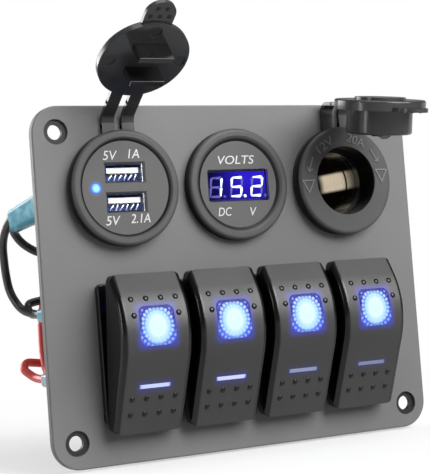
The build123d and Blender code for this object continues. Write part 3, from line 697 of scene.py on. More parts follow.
@dataclass
class Charger:
    """Dual USB charger: face, ports, indicator lamp and rear.

    Attributes:
        finishes: Shared finishes.
        letter_h: Height of the rating marks.
        ratings: Each mark, with its middle's place from the device's axis and its width.
        glow_reach: How far the indicator's light spreads on the face.
        port_pitch: Distance between the two ports.
        spring_count: Contact springs in each port.
        spring_gap: Distance between springs.
        spring_size: Width, depth and length of a spring.
        spring_bevel: Rounding of its edges.
        spring_drop: How far a spring's middle is below its port's.
        spring_in: How far it is behind the tongues' front.
        spring_leans: The springs' leans in radians, by turns.
    """

    finishes: Finishes
    letter_h: float = 2.9 * MM
    ratings: tuple[tuple[str, float, float, float], ...] = (
        ("5V", -4.8 * MM, 10.3 * MM, 5.0 * MM), ("1A", 3.4 * MM, 10.7 * MM, 3.9 * MM),
        ("5V", -5.2 * MM, -10.3 * MM, 5.0 * MM), ("2.1A", 4.3 * MM, -9.9 * MM, 6.8 * MM))
    glow_reach: float = 3.2 * MM
    port_pitch: float = 9.45 * MM
    spring_count: int = 6
    spring_gap: float = 1.75 * MM
    spring_size: tuple[float, float, float] = (0.42 * MM, 0.5 * MM, 2.1 * MM)
    spring_bevel: float = 0.1 * MM
    spring_drop: float = 1.35 * MM
    spring_in: float = 0.4 * MM
    spring_leans: tuple[float, float] = (0.75, 0.45)

    def build(self) -> None:
        """Dress the charger's nodes and print its ratings."""
        f = self.finishes
        dress(["usb_housing"],
              Bezel("charger_bezel", "usb_housing", f.bezel, 16.1 * MM, mouth_from=0.25 * MM).make())
        dress(["usb_face_plate"], self.lit_face())
        dress(["usb_port_shells"], self.shells())
        dress(["usb_port_tongues"], f.nylon.make())
        dress(["usb_port_contacts", "usb_blades"], f.brass.make())
        dress(["usb_circuit_board"], f.board.make())
        dress(["usb_rear_cover"], f.shell.make())
        centre = middle("usb_indicator_lens")
        dress(["usb_indicator_lens"], Lamp("indicator_lamp", tuple(centre), (0.45, 0.92, 1.0),
                                           (0.03, 0.16, 0.7), 1.7 * MM).make())
        print_words("charger_ratings", "usb_face_plate", self.ratings, self.letter_h, f.ink.make())
        self.springs()

    def shells(self) -> Material:
        """Port shells: blued steel with a painted highlight on the right wall."""
        graph = Graph("port_shell")
        low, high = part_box("usb_port_shells")
        x, y, _ = graph.split(graph.place((high.x, low.y, 0.0)))
        cloud = graph.noise(graph.place(), 900.0, 2.0)
        # Painted highlight: the right wall is painted nearly white.
        right = graph.span(x, -0.5 * MM, -0.28 * MM)
        front = graph.span(y, 0.02 * MM, 0.12 * MM, 1.0, 0.0)
        inner = graph.blend(graph.span(cloud, 0.35, 0.65), (0.05, 0.08, 0.28), (0.22, 0.32, 0.70))
        colour = graph.blend(graph.times(front, 0.9), inner, (0.02, 0.02, 0.035))
        colour = graph.blend(right, colour, (0.85, 0.88, 0.95))
        graph.shade(Base_Color=colour, Metallic=0.8, Roughness=graph.span(cloud, 0.2, 0.8, 0.14, 0.3),
                    Normal=graph.bump(cloud, 0.00004))
        return graph.material

    def lit_face(self) -> Material:
        """Face plastic with the indicator's blue light painted round it as a glow."""
        graph = Graph("charger_face")
        sockets = self.finishes.face.surface(graph)
        x, _, z = graph.split(graph.place(tuple(middle("usb_indicator_lens"))))
        r = graph.radius(x, z)
        # Painted glow: the indicator's blue light on the face is emission.
        painted_glow = graph.span(r, 1.4 * MM, self.glow_reach, 1.0, 0.0)
        colour = graph.blend(graph.maths("POWER", painted_glow, 1.8), UNLIT, (0.005, 0.04, 0.36))
        graph.shade(**sockets, Emission_Color=colour, Emission_Strength=LIGHT_STRENGTH)
        return graph.material

    def springs(self) -> None:
        """Slanted contact springs under each port's tongue, with a painted blue glow."""
        low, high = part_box("usb_port_shells")
        tongues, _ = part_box("usb_port_tongues")
        mid = (low + high) / 2
        mesh = bmesh.new()
        for dz in (self.port_pitch / 2, -self.port_pitch / 2):
            for step in range(self.spring_count):
                dx = (step - (self.spring_count - 1) / 2) * self.spring_gap
                at = (mid.x + dx, tongues.y + self.spring_in, mid.z + dz - self.spring_drop)
                turn = Matrix.Translation(at)
                lean = Matrix.Rotation(self.spring_leans[step % 2], 4, "Y")
                part = bmesh.new()
                bmesh.ops.create_cube(part, size=1.0, matrix=Matrix.Diagonal((*self.spring_size, 1.0)))
                bmesh.ops.bevel(part, geom=part.edges[:], offset=self.spring_bevel, segments=2, profile=0.5,
                                affect="EDGES", material=-1)
                bmesh.ops.transform(part, matrix=turn @ lean, verts=part.verts)
                join_into(mesh, part)
        steel = Graph("port_springs")
        cloud = steel.noise(steel.place(), 900.0, 2.0)
        # Painted glow: the springs' blue light is emission, though they are no lamp.
        tint = steel.blend(steel.span(cloud, 0.35, 0.65), (0.03, 0.07, 0.32), (0.20, 0.30, 0.66))
        steel.shade(Base_Color=(0.5, 0.55, 0.7), Metallic=0.8, Emission_Color=tint, Emission_Strength=0.8,
                    Roughness=steel.span(cloud, 0.2, 0.8, 0.15, 0.3))
        piece("charger_port_springs", mesh, "panel", steel.material)


@dataclass
class Voltmeter:
    """Voltmeter: face, window, lit digits and rear.

    Attributes:
        finishes: Shared finishes.
        marks: Each printed mark, with its middle's place from the device's axis and its width.
        letter_h: Height of the printed marks.
        digit_w: Width of one digit.
        digit_h: Height of one digit.
        pitch: Distance between digits.
        first: Middle of the first digit, from the device's axis.
        drop: Middle of the digits below or above the axis.
        slant: Lean of the digits.
        bar: Width of one segment.
        segment_t: How far a segment stands up.
        point_gap: From a digit's side to its point.
        point_r: Radius of a point.
        point_after: The digit whose point is lit, from 0.
        reading: The segments lit in each digit, named a to g.
    """

    finishes: Finishes
    marks: tuple[tuple[str, float, float, float], ...] = (
        ("VOLTS", -0.3 * MM, 8.1 * MM, 13.6 * MM), ("DC", -5.8 * MM, -8.9 * MM, 5.0 * MM),
        ("V", 4.9 * MM, -9.2 * MM, 2.4 * MM))
    letter_h: float = 2.8 * MM
    digit_w: float = 4.7 * MM
    digit_h: float = 7.0 * MM
    pitch: float = 7.7 * MM
    first: float = -8.0 * MM
    drop: float = -0.45 * MM
    slant: float = 0.14
    bar: float = 0.85 * MM
    segment_t: float = 0.04 * MM
    point_gap: float = 0.65 * MM
    point_r: float = 0.5 * MM
    point_after: int = 1
    reading: tuple[str, ...] = ("bc", "acdfg", "abdeg")

    def build(self) -> None:
        """Dress the meter's nodes, print its marks and light its digits."""
        f = self.finishes
        dress(["meter_housing"],
              Bezel("meter_bezel", "meter_housing", f.bezel, 16.1 * MM, mouth_from=0.25 * MM).make())
        dress(["meter_face_plate"], f.face.make())
        dress(["meter_circuit_board"], f.board.make())
        dress(["meter_rear_cover"], f.shell.make())
        dress(["meter_blades"], f.brass.make())
        dress(["meter_window"], self.pane())
        dress(["meter_display"], self.field())
        print_words("meter_marks", "meter_face_plate", self.marks, self.letter_h, f.ink.make())
        self.digits()

    def pane(self) -> Material:
        """Clear window with a trace of haze."""
        graph = Graph("meter_pane")
        haze = graph.noise(graph.place(), 400.0, 2.0)
        graph.shade(Base_Color=(0.8, 0.84, 1.0), Transmission_Weight=1.0, IOR=1.3,
                    Roughness=graph.span(haze, 0.3, 0.8, 0.01, 0.05))
        return graph.material

    def field(self) -> Material:
        """Display ground, lit blue towards the right and the top."""
        graph = Graph("meter_field")
        coords = graph.place(tuple(middle("meter_display")))
        x, _, z = graph.split(coords)
        cloud = graph.noise(coords, 260.0, 2.0)
        across = graph.span(x, -10 * MM, 3 * MM)
        up = graph.span(z, -6 * MM, 5 * MM, 0.55, 1.0)
        lit = graph.times(across, up, graph.span(cloud, 0.2, 0.8, 0.75, 1.15, False))
        colour = graph.blend(lit, (0.004, 0.002, 0.045), (0.035, 0.015, 0.62))
        graph.shade(Base_Color=(0.01, 0.01, 0.05), Roughness=0.4, Emission_Color=colour,
                    Emission_Strength=LIGHT_STRENGTH)
        return graph.material

    def segment(self, mesh: Mesh, length: float, centre: tuple[float, float],
                upright: bool, turn: Matrix) -> None:
        """Add one pointed segment.

        Args:
            mesh: The mesh that takes it.
            length: Its length.
            centre: Its middle in the digit.
            upright: Whether it stands.
            turn: The digit's placement.
        """
        part = bmesh.new()
        bmesh.ops.create_circle(part, cap_ends=True, radius=self.bar * 0.55, segments=6,
                                matrix=Matrix.Identity(4))
        for vert in part.verts:
            vert.co.x += math.copysign((length - self.bar * 1.1) / 2, vert.co.x)
        spin = Matrix.Rotation(math.pi / 2, 4, "Z") if upright else Matrix.Identity(4)
        shear = Matrix.Identity(4)
        shear[0][1] = self.slant
        place = turn @ shear @ Matrix.Translation((*centre, 0)) @ spin
        extrude(part, part.faces[:], (0, 0, self.segment_t))
        bmesh.ops.transform(part, matrix=place, verts=part.verts)
        join_into(mesh, part)

    def digits(self) -> None:
        """Three seven-segment digits with a point after the second."""
        low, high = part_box("meter_display")
        axis = (low + high) / 2
        w, h, gap = self.digit_w, self.digit_h, 0.12 * MM
        half = (h - self.bar) / 2
        side = (w - self.bar) / 2
        places = {"a": (w - self.bar, (0, half), False), "g": (w - self.bar, (0, 0), False),
                  "d": (w - self.bar, (0, -half), False), "f": (half, (-side, half / 2), True),
                  "b": (half, (side, half / 2), True), "e": (half, (-side, -half / 2), True),
                  "c": (half, (side, -half / 2), True)}
        lit, unlit = bmesh.new(), bmesh.new()
        for number, shown in enumerate(self.reading):
            x = axis.x + self.first + number * self.pitch
            turn = facing_front(x, low.y - PRINT_LIFT, axis.z + self.drop)
            for letter, (length, centre, upright) in places.items():
                self.segment(lit if letter in shown else unlit, length - gap, centre, upright, turn)
            point = turn @ Matrix.Translation((w / 2 + self.point_gap, -half, 0))
            target = lit if number == self.point_after else unlit
            bmesh.ops.create_cone(target, cap_ends=True, segments=12, radius1=self.point_r,
                                  radius2=self.point_r, depth=1.5 * self.segment_t, matrix=point)
        bright = self.glow("digit_glow", (0.86, 0.9, 1.0), 1.1)
        piece("lit_segments", lit, "panel", bright, None)
        ghost = self.glow("digit_ghost", (0.05, 0.045, 0.22), 1.0)
        piece("unlit_segments", unlit, "panel", ghost, None)

    def glow(self, name: str, colour: Colour, strength: float) -> Material:
        """Segment light, a little uneven."""
        graph = Graph(name)
        cloud = graph.noise(graph.place(), 700.0, 2.0)
        shade = graph.blend(graph.span(cloud, 0.3, 0.7), tuple(c * 0.85 for c in colour), colour)
        graph.shade(Base_Color=colour, Roughness=0.5, Emission_Color=shade, Emission_Strength=strength)
        return graph.material


@dataclass
class PowerSocket:
    """12 V socket: bezel with raised marks, metal liner and rear.

    Attributes:
        finishes: Shared finishes.
        ring_r: Radius on which the marks stand.
        raised: How far they stand up.
        ratings: Each rating, with its angle to the left of the top and its width.
        arrows: Each arrow's angle to the left of the top, its radius and which way it points.
        triangles: Each triangle's middle from the socket's axis.
        groove: Depth of a painted dark band, the shade of a groove, across the painted lit patch behind the
            bezel's front.
        rims: Depths of the two fine painted highlight rims near its mouth.
        letter_h: Height of the ratings.
        rib_w: Width of a mark's lines.
        shaft: Length of an arrow.
        barb: Length of an arrow's barbs.
        barb_lean: Their angle from the shaft in radians.
        barb_back: From an arrow's tip to its barbs' middles.
        triangle_r: A triangle's radius.
    """

    finishes: Finishes
    ring_r: float = 14.5 * MM
    raised: float = 0.3 * MM
    ratings: tuple[tuple[str, float, float], ...] = (("12V", 32.0, 7.2 * MM), ("20A", -20.0, 7.4 * MM))
    arrows: tuple[tuple[float, float, int], ...] = ((68.0, 15.0 * MM, 1), (-56.0, 14.6 * MM, -1))
    triangles: tuple[tuple[float, float], ...] = ((-15.3 * MM, -1.0 * MM), (14.5 * MM, 2.0 * MM))
    groove: float = 16.0 * MM
    rims: tuple[float, float] = (9.2 * MM, 11.4 * MM)
    letter_h: float = 3.0 * MM
    rib_w: float = 0.42 * MM
    shaft: float = 5.4 * MM
    barb: float = 2.1 * MM
    barb_lean: float = 0.6
    barb_back: float = 0.9 * MM
    triangle_r: float = 3.1 * MM

    def build(self) -> None:
        """Dress the socket's nodes and raise its marks."""
        f = self.finishes
        dress(["socket_housing"],
              Bezel("socket_bezel", "socket_housing", f.bezel, 11.75 * MM, mouth_from=0.4 * MM).make())
        dress(["socket_liner"], self.bore())
        dress(["socket_insulator"], f.fibre.make())
        dress(["socket_centre_contact", "socket_blades"], f.brass.make())
        dress(["socket_rear_cover"], f.shell.make())
        self.marks()

    def bore(self) -> Material:
        """Dark polished liner with a painted lit patch along its right side, which also glows, and painted
        highlight rims near its mouth.
        """
        graph = Graph("socket_bore")
        low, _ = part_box("socket_housing")
        axis = middle("socket_liner")
        coords = graph.place((axis.x, low.y, axis.z))
        x, y, z = graph.split(coords)
        angle = graph.maths("ARCTAN2", z, x)
        lines = graph.noise(graph.place(stretch=(300.0, 1500.0, 300.0)), 1.0, 2.0)
        off = graph.apart(angle, 0.14)
        # Painted light: a lit patch along the right side, with a dark band for a groove's shade.
        strip = graph.span(off, 0.22, 0.36, 1.0, 0.0)
        near = graph.span(y, 10.0 * MM, 17.5 * MM, 0.08, 0.9)
        deep = graph.span(y, 15.0 * MM, 21.0 * MM, 0.7, 1.3)
        far = graph.span(y, 29.0 * MM, 34.0 * MM, 1.0, 0.0)
        ring = graph.span(graph.apart(y, self.groove), 0.35 * MM, 0.75 * MM, 0.03, 1.0)
        painted_light_patch = graph.times(strip, near, far, ring, graph.span(lines, 0.2, 0.6, 0.9, 1.0))
        # Painted highlights: two thin bright rims near the mouth.
        rims = [graph.span(graph.apart(y, depth), 0.05 * MM, 0.2 * MM, 1.0, 0.0) for depth in self.rims]
        rim = graph.times(graph.most(*rims), graph.span(off, 0.7, 1.2, 1.0, 0.0))
        colour = graph.blend(painted_light_patch, (0.010, 0.009, 0.009), (0.88, 0.78, 0.64))
        colour = graph.blend(graph.times(rim, 0.5), colour, (0.45, 0.43, 0.40))
        # Painted glow: the lit patch also emits, more so deeper in.
        glow = graph.blend(graph.times(painted_light_patch, deep), UNLIT, (0.62, 0.53, 0.40))
        graph.shade(Base_Color=colour, Metallic=graph.span(painted_light_patch, 0.0, 1.0, 0.0, 0.5, False),
                    Roughness=graph.span(lines, 0.2, 0.8, 0.16, 0.3), Emission_Color=glow,
                    Emission_Strength=0.85, Normal=graph.bump(lines, 0.000004))
        return graph.material

    def marks(self) -> None:
        """Raised ratings along the upper ring, and an arrow and a triangle at each side."""
        low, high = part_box("socket_housing")
        axis = (low + high) / 2
        face = facing_front(axis.x, low.y + 0.02 * MM, axis.z)
        mesh = bmesh.new()
        for words, angle, width in self.ratings:
            turn = face @ self.around(angle, self.ring_r)
            lettering(mesh, words, self.letter_h, turn, thick=self.raised, width=width)
        for angle, radius, way in self.arrows:
            turn = face @ self.around(angle, radius)
            self.rib(mesh, turn, (0.0, 0.0), self.shaft, 0.0)
            for lean in (self.barb_lean, -self.barb_lean):
                back = way * self.barb_back
                tip = -way * self.shaft / 2
                self.rib(mesh, turn, (tip + back * math.cos(lean), back * math.sin(lean)), self.barb, lean)
        for dx, dz in self.triangles:
            self.triangle(mesh, face @ Matrix.Translation((dx, dz, 0)))
        ridge = Moulding("socket_raised_marks", (0.17, 0.17, 0.17), mottle=0.1, gloss=0.4, grain=3200.0)
        piece("socket_marks", mesh, "panel", ridge.make(), None)

    def around(self, angle: float, radius: float) -> Matrix:
        """Placement at an angle to the left of the top, in degrees, and at a radius."""
        return Matrix.Rotation(math.radians(angle), 4, "Z") @ Matrix.Translation((0, radius, 0))

    def rib(self, mesh: Mesh, turn: Matrix, centre: tuple[float, float], length: float, lean: float) -> None:
        """Add one straight raised rib.

        Args:
            mesh: The mesh that takes it.
            turn: The mark's placement.
            centre: The rib's middle in the mark.
            length: Its length.
            lean: Its angle in radians.
        """
        place = turn @ Matrix.Translation((*centre, 0)) @ Matrix.Rotation(lean, 4, "Z")
        size = Matrix.Diagonal((length, self.rib_w, 2 * self.raised, 1.0))
        bmesh.ops.create_cube(mesh, size=1.0, matrix=place @ size)

    def triangle(self, mesh: Mesh, turn: Matrix) -> None:
        """Add one raised outline of a triangle that points down."""
        part = bmesh.new()
        point_down = Matrix.Rotation(math.pi, 4, "Z")
        bmesh.ops.create_circle(part, cap_ends=True, radius=self.triangle_r, segments=3, matrix=point_down)
        rim = bmesh.ops.inset_region(part, faces=part.faces[:], use_boundary=True,
                                     use_even_offset=True, thickness=self.rib_w, depth=0.0)
        inner = [f for f in part.faces if f not in rim["faces"]]
        bmesh.ops.delete(part, geom=inner, context="FACES_ONLY")
        extrude(part, part.faces[:], (0, 0, self.raised))
        bmesh.ops.transform(part, matrix=turn, verts=part.verts)
        join_into(mesh, part)


@dataclass
class Cap:
    """One rubber cap: collar, two bent straps, hinged lid and its mouldings.

    Attributes:
        finishes: Shared finishes.
        kind: Prefix of its nodes, its body and its joint.
        opened: How far the lid stands open at rest, in degrees.
        reach: From the hinge line to the disc's middle.
        inner: The lid's inner face above the hinge line, inwards.
        arm_drop: From the inner face to the arm's inner face.
        bend_r: Radius of the strap's bend.
        seat: Depth at which the shut disc sits in its bezel, which the tab clears.
        arm_w: Width of each strap.
        arm_pitch: Distance between the straps' middles.
        arm_t: Thickness of the lid's arms.
        arm_start: From the hinge line to where the strap joins its arm.
        strap_t: Thickness of each strap.
        overlap: How far a strap runs on into its root and its arm.
        pip_r: Radius of a grip pip.
        pip_h: Its height.
        pips: Each pip's place across, and out from the disc's middle.
    """

    finishes: Finishes
    kind: str
    opened: float
    reach: float
    inner: float
    arm_drop: float
    bend_r: float
    seat: float
    arm_w: float = 4.3 * MM
    arm_pitch: float = 6.9 * MM
    arm_t: float = 1.3 * MM
    arm_start: float = 2.75 * MM
    strap_t: float = 1.25 * MM
    overlap: float = 1.2 * MM
    pip_r: float = 0.8 * MM
    pip_h: float = 0.28 * MM
    pips: tuple[tuple[float, float], ...] = (
        (-3.05 * MM, 17.1 * MM), (0.0, 17.1 * MM), (3.05 * MM, 17.1 * MM), (-1.55 * MM, 20.1 * MM),
        (1.55 * MM, 20.1 * MM))

    def frame(self) -> Matrix:
        """Lid frame at rest: origin on the hinge line, Y to the disc, Z inwards."""
        a = math.radians(self.opened)
        x, y = Vector((1, 0, 0)), Vector((0, -math.sin(a), -math.cos(a)))
        turn = Matrix((x, y, x.cross(y))).transposed().to_4x4()
        return Matrix.Translation(Vector(HINGES[f"{self.kind}_lid_hinge"]["pos_m"])) @ turn

    def build(self) -> None:
        """Dress the cap's nodes, bend its straps and add the lid's mouldings."""
        rubber = self.finishes.rubber.make()
        dress([f"{self.kind}_cap_ring", f"{self.kind}_cap_lid"], rubber)
        if self.kind == "usb":
            dress(["usb_cap_plugs"], self.finishes.plug.make())
        self.straps(rubber)
        self.grip()

    def straps(self, rubber: Material) -> None:
        """Two bands bent from the collar's roots to the lid's arms."""
        low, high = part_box(f"{self.kind}_cap_ring")
        lid = self.frame()
        root = Vector((0, (low.y + high.y) / 2, high.z))
        end = lid @ Vector((0, self.arm_start, self.inner - self.arm_drop - self.arm_t / 2))
        along = lid.to_3x3() @ Vector((0, 1, 0))
        turn = math.acos(max(-1.0, min(1.0, along.z)))
        knee_z = end.z - (end.y - root.y) / along.y * along.z
        tangent = self.bend_r * math.tan(turn / 2)
        rise = knee_z - tangent - root.z
        run = Vector((0, root.y - end.y, knee_z - end.z)).length - tangent
        mesh = bmesh.new()
        for side in (-1, 1):
            x = (low.x + high.x) / 2 + side * self.arm_pitch / 2
            part = bmesh.new()
            size = Matrix.Diagonal((self.arm_w, self.strap_t, 1.0, 1.0))
            foot = Matrix.Translation((x, root.y, root.z - self.overlap))
            bmesh.ops.create_grid(part, x_segments=6, y_segments=1, size=0.5, matrix=foot @ size)
            top = part.faces[:]
            for step in (self.overlap, rise):
                top = self.push(part, top, Vector((0, 0, step)))
            hub = Vector((x, root.y - self.bend_r, knee_z - tangent))
            spun = bmesh.ops.spin(part, geom=top, cent=hub, axis=(1, 0, 0), dvec=(0, 0, 0), angle=turn,
                                  steps=14, use_merge=False, use_normal_flip=False, use_duplicate=False)
            top = [e for e in spun["geom_last"] if isinstance(e, Face)]
            for step in (run, self.overlap):
                top = self.push(part, top, along * step)
            join_into(mesh, part)
        obj = piece(f"{self.kind}_straps", mesh, "panel", rubber, 50.0)
        obj.parent = None
        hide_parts(f"{self.kind}_cap_straps")
        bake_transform(obj)

    def push(self, part: Mesh, faces: Sequence[Face], step: Vector) -> list[Face]:
        """Carry a band's open end on by a step and return its new end."""
        end = extrude(part, faces, step)
        bmesh.ops.delete(part, geom=list(faces), context="FACES_ONLY")
        return end

    def grip(self) -> None:
        """Five grip pips on the tab's inner side."""
        lid = self.frame()
        mesh = bmesh.new()
        for dx, dy in self.pips:
            turn = lid @ Matrix.Translation((dx, self.reach + dy, self.inner - self.seat))
            dome(mesh, self.pip_r, self.pip_h, turn)
        piece(f"{self.kind}_grip_pips", mesh, f"{self.kind}_lid", self.finishes.pip.make())


@dataclass
class Switch:
    """One rocker switch: flange, rocker with grip dots, lit lenses and contact arm.

    Attributes:
        finishes: Shared finishes.
        number: Its place from the left, from 1.
        bar_light: Brightness of the lower bar.
        tilt: How far the rocker leans at rest, in degrees.
        hot_s: Place of the lamp behind the square lens, along the rocker.
        bar_s: Place of the bar, along the rocker.
        half_w: Half the rocker's width in millimetres.
        dot_r: Radius of a grip dot in millimetres.
        dot_h: Its height in millimetres.
        dots: Rows of grip dots: place along the rocker and places across it.
        window_s: Middle of the square lens, along the rocker.
        rings: The lamp's rings of beads: radius, count and half a bead's size.
    """

    finishes: Finishes
    number: int
    bar_light: float
    tilt: float = 7.0
    hot_s: float = 10.4
    bar_s: float = -8.9
    half_w: float = 12.1
    dot_r: float = 0.95
    dot_h: float = 0.42
    window_s: float = 10.1
    rings: tuple[tuple[float, int, float], ...] = ((5.15, 24, 0.64), (6.7, 28, 0.6), (3.9, 20, 0.42))
    dots: tuple[tuple[float, tuple[float, ...]], ...] = (
        (18.3, (-7.6, -2.53, 2.53, 7.6)), (13.5, (-7.6, 7.6)),
        (-12.8, (-7.4, -2.47, 2.47, 7.4)), (-17.9, (-7.4, -2.47, 2.47, 7.4)))

    def frame(self) -> Matrix:
        """Rocker frame: X up along the face, Y outwards, Z across."""
        a = math.radians(self.tilt)
        s = Vector((0, -math.sin(a), math.cos(a)))
        across = Vector((1, 0, 0))
        turn = Matrix((s, across.cross(s), across)).transposed().to_4x4()
        return Matrix.Translation(Vector(HINGES[f"rocker_{self.number}_pivot"]["pos_m"])) @ turn

    def build(self) -> None:
        """Dress the switch's nodes and set its grip dots."""
        n, f = self.number, self.finishes
        dress([f"switch_{n}_housing"], f.shell.make())
        dress([f"switch_{n}_rocker"], self.rocker_plastic())
        dress([f"switch_{n}_lenses"], self.lens_light())
        dress([f"switch_{n}_contact_arm"], f.brass.make())
        self.grip_dots()

    def local(self, graph: Graph) -> tuple[Socket, Socket]:
        """Places across and along the rocker, in millimetres, as sockets."""
        pivot = HINGES[f"rocker_{self.number}_pivot"]["pos_m"]
        x, _, s = graph.split(graph.place(pivot, math.radians(-self.tilt), (1000, 1000, 1000)))
        return x, s

    def box_distance(self, graph: Graph, x: object, s: object, half: tuple[float, float],
                     mid: float) -> Socket:
        """Distance outside a rectangle on the rocker's face, in millimetres."""
        out_x = graph.maths("MAXIMUM", graph.maths("SUBTRACT", graph.maths("ABSOLUTE", x), half[0]), 0.0)
        out_s = graph.maths("MAXIMUM", graph.maths("SUBTRACT", graph.apart(s, mid), half[1]), 0.0)
        return graph.radius(out_x, out_s)

    def rocker_plastic(self) -> Material:
        """Satin face with the lenses' blue light painted on it as a glow, and polished edges and sides
        painted black as shade.
        """
        graph = Graph(f"rocker_plastic_{self.number}")
        base = Moulding("", (0.040, 0.040, 0.040), mottle=0.06, gloss=0.42, grain=3000.0,
                        depth=0.00002, shine=0.45)
        sockets = base.surface(graph)
        x, s = self.local(graph)
        side = graph.maths("ABSOLUTE", x)
        # Painted shade: the long edges and sides are painted black.
        edge = graph.span(side, self.half_w - 2.3, self.half_w - 1.3)
        sockets["Base_Color"] = graph.blend(edge, sockets["Base_Color"], PAINTED_SHADE_BLACK)
        sockets["Roughness"] = graph.blend(edge, sockets["Roughness"], (0.19, 0.19, 0.19))
        # Painted glow: the lenses' blue light on the face is emission.
        window = graph.span(self.box_distance(graph, x, s, (5.2, 5.2), self.window_s), 0.5, 3.4, 1.0, 0.0)
        bar = graph.span(self.box_distance(graph, x, s, (4.6, 0.5), self.bar_s), 0.1, 2.6, 1.0, 0.0)
        painted_glow = graph.maths("ADD", graph.times(graph.maths("POWER", window, 1.6), 0.32),
                            graph.times(bar, 0.1 * self.bar_light), clamp=True)
        colour = graph.blend(painted_glow, UNLIT, (0.03, 0.03, 0.95))
        graph.shade(**sockets, Emission_Color=colour, Emission_Strength=LIGHT_STRENGTH)
        return graph.material

    def lens_light(self) -> Material:
        """Lit lens: white middle, rings of prism dots, deep blue corners, and the paler bar."""
        graph = Graph(f"lens_light_{self.number}")
        x, s = self.local(graph)
        v = graph.maths("SUBTRACT", s, self.hot_s)
        r = graph.radius(x, v)
        angle = graph.maths("ARCTAN2", x, v)
        beads = graph.most(*(self.beads(graph, r, angle, *ring) for ring in self.rings))
        wide = graph.radius(x, graph.times(graph.maths("SUBTRACT", s, self.hot_s - 0.6), 0.84))
        deep = graph.blend(graph.span(s, 7.0, 14.5), (0.07, 0.12, 0.78), (0.0, 0.003, 0.42))
        body = graph.blend(graph.span(wide, 3.6, 5.3), (0.42, 0.78, 0.97), deep)
        core = graph.blend(graph.span(wide, 2.3, 4.0), (0.77, 1.0, 0.98), body)
        fleck = graph.span(graph.noise(graph.place(), 1900.0, 1.0), 0.5, 0.68, 0.0, 0.35)
        spark = graph.blend(graph.span(wide, 2.0, 5.0), (0.86, 1.0, 1.0), (0.36, 0.56, 1.0))
        core = graph.blend(fleck, core, spark)
        pale = graph.blend(graph.span(r, 4.6, 7.4), (0.60, 0.84, 1.0), (0.34, 0.50, 0.98))
        lit = graph.blend(graph.times(beads, 0.85), core, pale)
        halo = graph.span(graph.apart(r, 1.5), 0.1, 0.35, 0.22, 0.0)
        lit = graph.blend(halo, lit, (0.45, 0.82, 0.95))
        rim = graph.span(self.box_distance(graph, x, s, (4.0, 4.0), self.window_s), 0.9, 1.5)
        lit = graph.blend(graph.times(rim, graph.span(s, 8.0, 13.0, 0.15, 0.95)), lit, (0.0, 0.004, 0.22))
        edge = graph.span(graph.maths("ABSOLUTE", x), 4.2, 5.4)
        pale = tuple(c * self.bar_light for c in (0.62, 0.68, 1.0))
        specks = graph.span(graph.noise(graph.place(), 2600.0, 1.0), 0.35, 0.6)
        bar = graph.blend(graph.times(edge, specks), pale, (0.08, 0.12, 0.8))
        colour = graph.blend(graph.span(s, -1.0, 1.0), bar, lit)
        cells = graph.add("TexVoronoi", Vector=graph.place(), Scale=1500.0).outputs["Distance"]
        graph.shade(Base_Color=(0.002, 0.004, 0.06), Roughness=0.3, Specular_IOR_Level=0.15,
                    Emission_Color=colour, Emission_Strength=LIGHT_STRENGTH,
                    Normal=graph.bump(cells, 0.00006))
        return graph.material

    def beads(self, graph: Graph, r: Socket, angle: Socket, radius: float,
              count: int, half: float) -> Socket:
        """One ring of round prism beads, 1 at their middles.

        Args:
            graph: The material's graph.
            r: Distance from the lamp in millimetres.
            angle: Angle round the lamp.
            radius: The ring's radius.
            count: How many beads it has.
            half: Half the size of a bead.

        Returns:
            The ring's socket.
        """
        turn = graph.times(angle, count / (2 * math.pi))
        off = graph.maths("SUBTRACT", graph.maths("FRACT", graph.maths("ADD", turn, count)), 0.5)
        along = graph.times(off, 2 * math.pi * radius / count)
        away = graph.radius(along, graph.maths("SUBTRACT", r, radius))
        return graph.span(away, half * 0.55, half, 1.0, 0.0)

    def grip_dots(self) -> None:
        """Small raised dots, each standing square on the rocker's curved face."""
        node = NODES[f"switch_{self.number}_rocker"]
        skin = BVHTree.FromObject(node, bpy.context.evaluated_depsgraph_get())
        rocker = self.frame()
        outward = (rocker.to_3x3() @ Vector((0, 1, 0))).normalized()
        mesh = bmesh.new()
        for s, across in self.dots:
            for dx in across:
                far = rocker @ Vector((s * MM, 40 * MM, dx * MM))
                hit, normal, _, _ = skin.ray_cast(far, -outward)
                turn = Matrix.Translation(hit) @ normal.to_track_quat("Z", "Y").to_matrix().to_4x4()
                dome(mesh, self.dot_r * MM, self.dot_h * MM, turn, 14, 8)
        gloss = Moulding(f"grip_dot_{self.number}", (0.002, 0.002, 0.002), gloss=0.22, grain=5000.0,
                         depth=0.000005, shine=0.4)
        piece(f"rocker_{self.number}_grip_dots", mesh, f"rocker_{self.number}",
              gloss.make())


@dataclass
class Insides:
    """What the switches hold behind the panel."""

    finishes: Finishes

    def build(self) -> None:
        """Dress pins, cradles, boards, lamps and blades."""
        f = self.finishes
        dress(["switch_pivot_pins"], f.nickel.make())
        dress(["switch_arm_cradles", "switch_blades"], f.brass.make())
        dress(["switch_lamp_boards"], f.board.make())
        lamps = Moulding("lamp_epoxy", (0.05, 0.16, 0.8), mottle=0.15, gloss=0.15, coat=Coat.LACQUER)
        dress(["switch_lamp_leds"], lamps.make())


@dataclass
class Harness:
    """Leads and insulated connectors behind the left edge."""

    finishes: Finishes

    def build(self) -> None:
        """Dress the leads, sleeves and receptacles."""
        f = self.finishes
        dress(["wire_black_usb_to_switch", "wire_black_usb_to_meter", "wire_black_switch_to_switch"],
              f.black_wire.make())
        dress(["wire_red_usb_to_switch", "wire_red_switch_to_switch"], f.red_wire.make())
        dress(["spade_sleeves_blue"], f.blue_vinyl.make())
        dress(["spade_sleeves_clear"], f.clear_vinyl.make())
        dress(["spade_receptacles"], f.brass.make())


# ---------------------------------------------------------------- studio


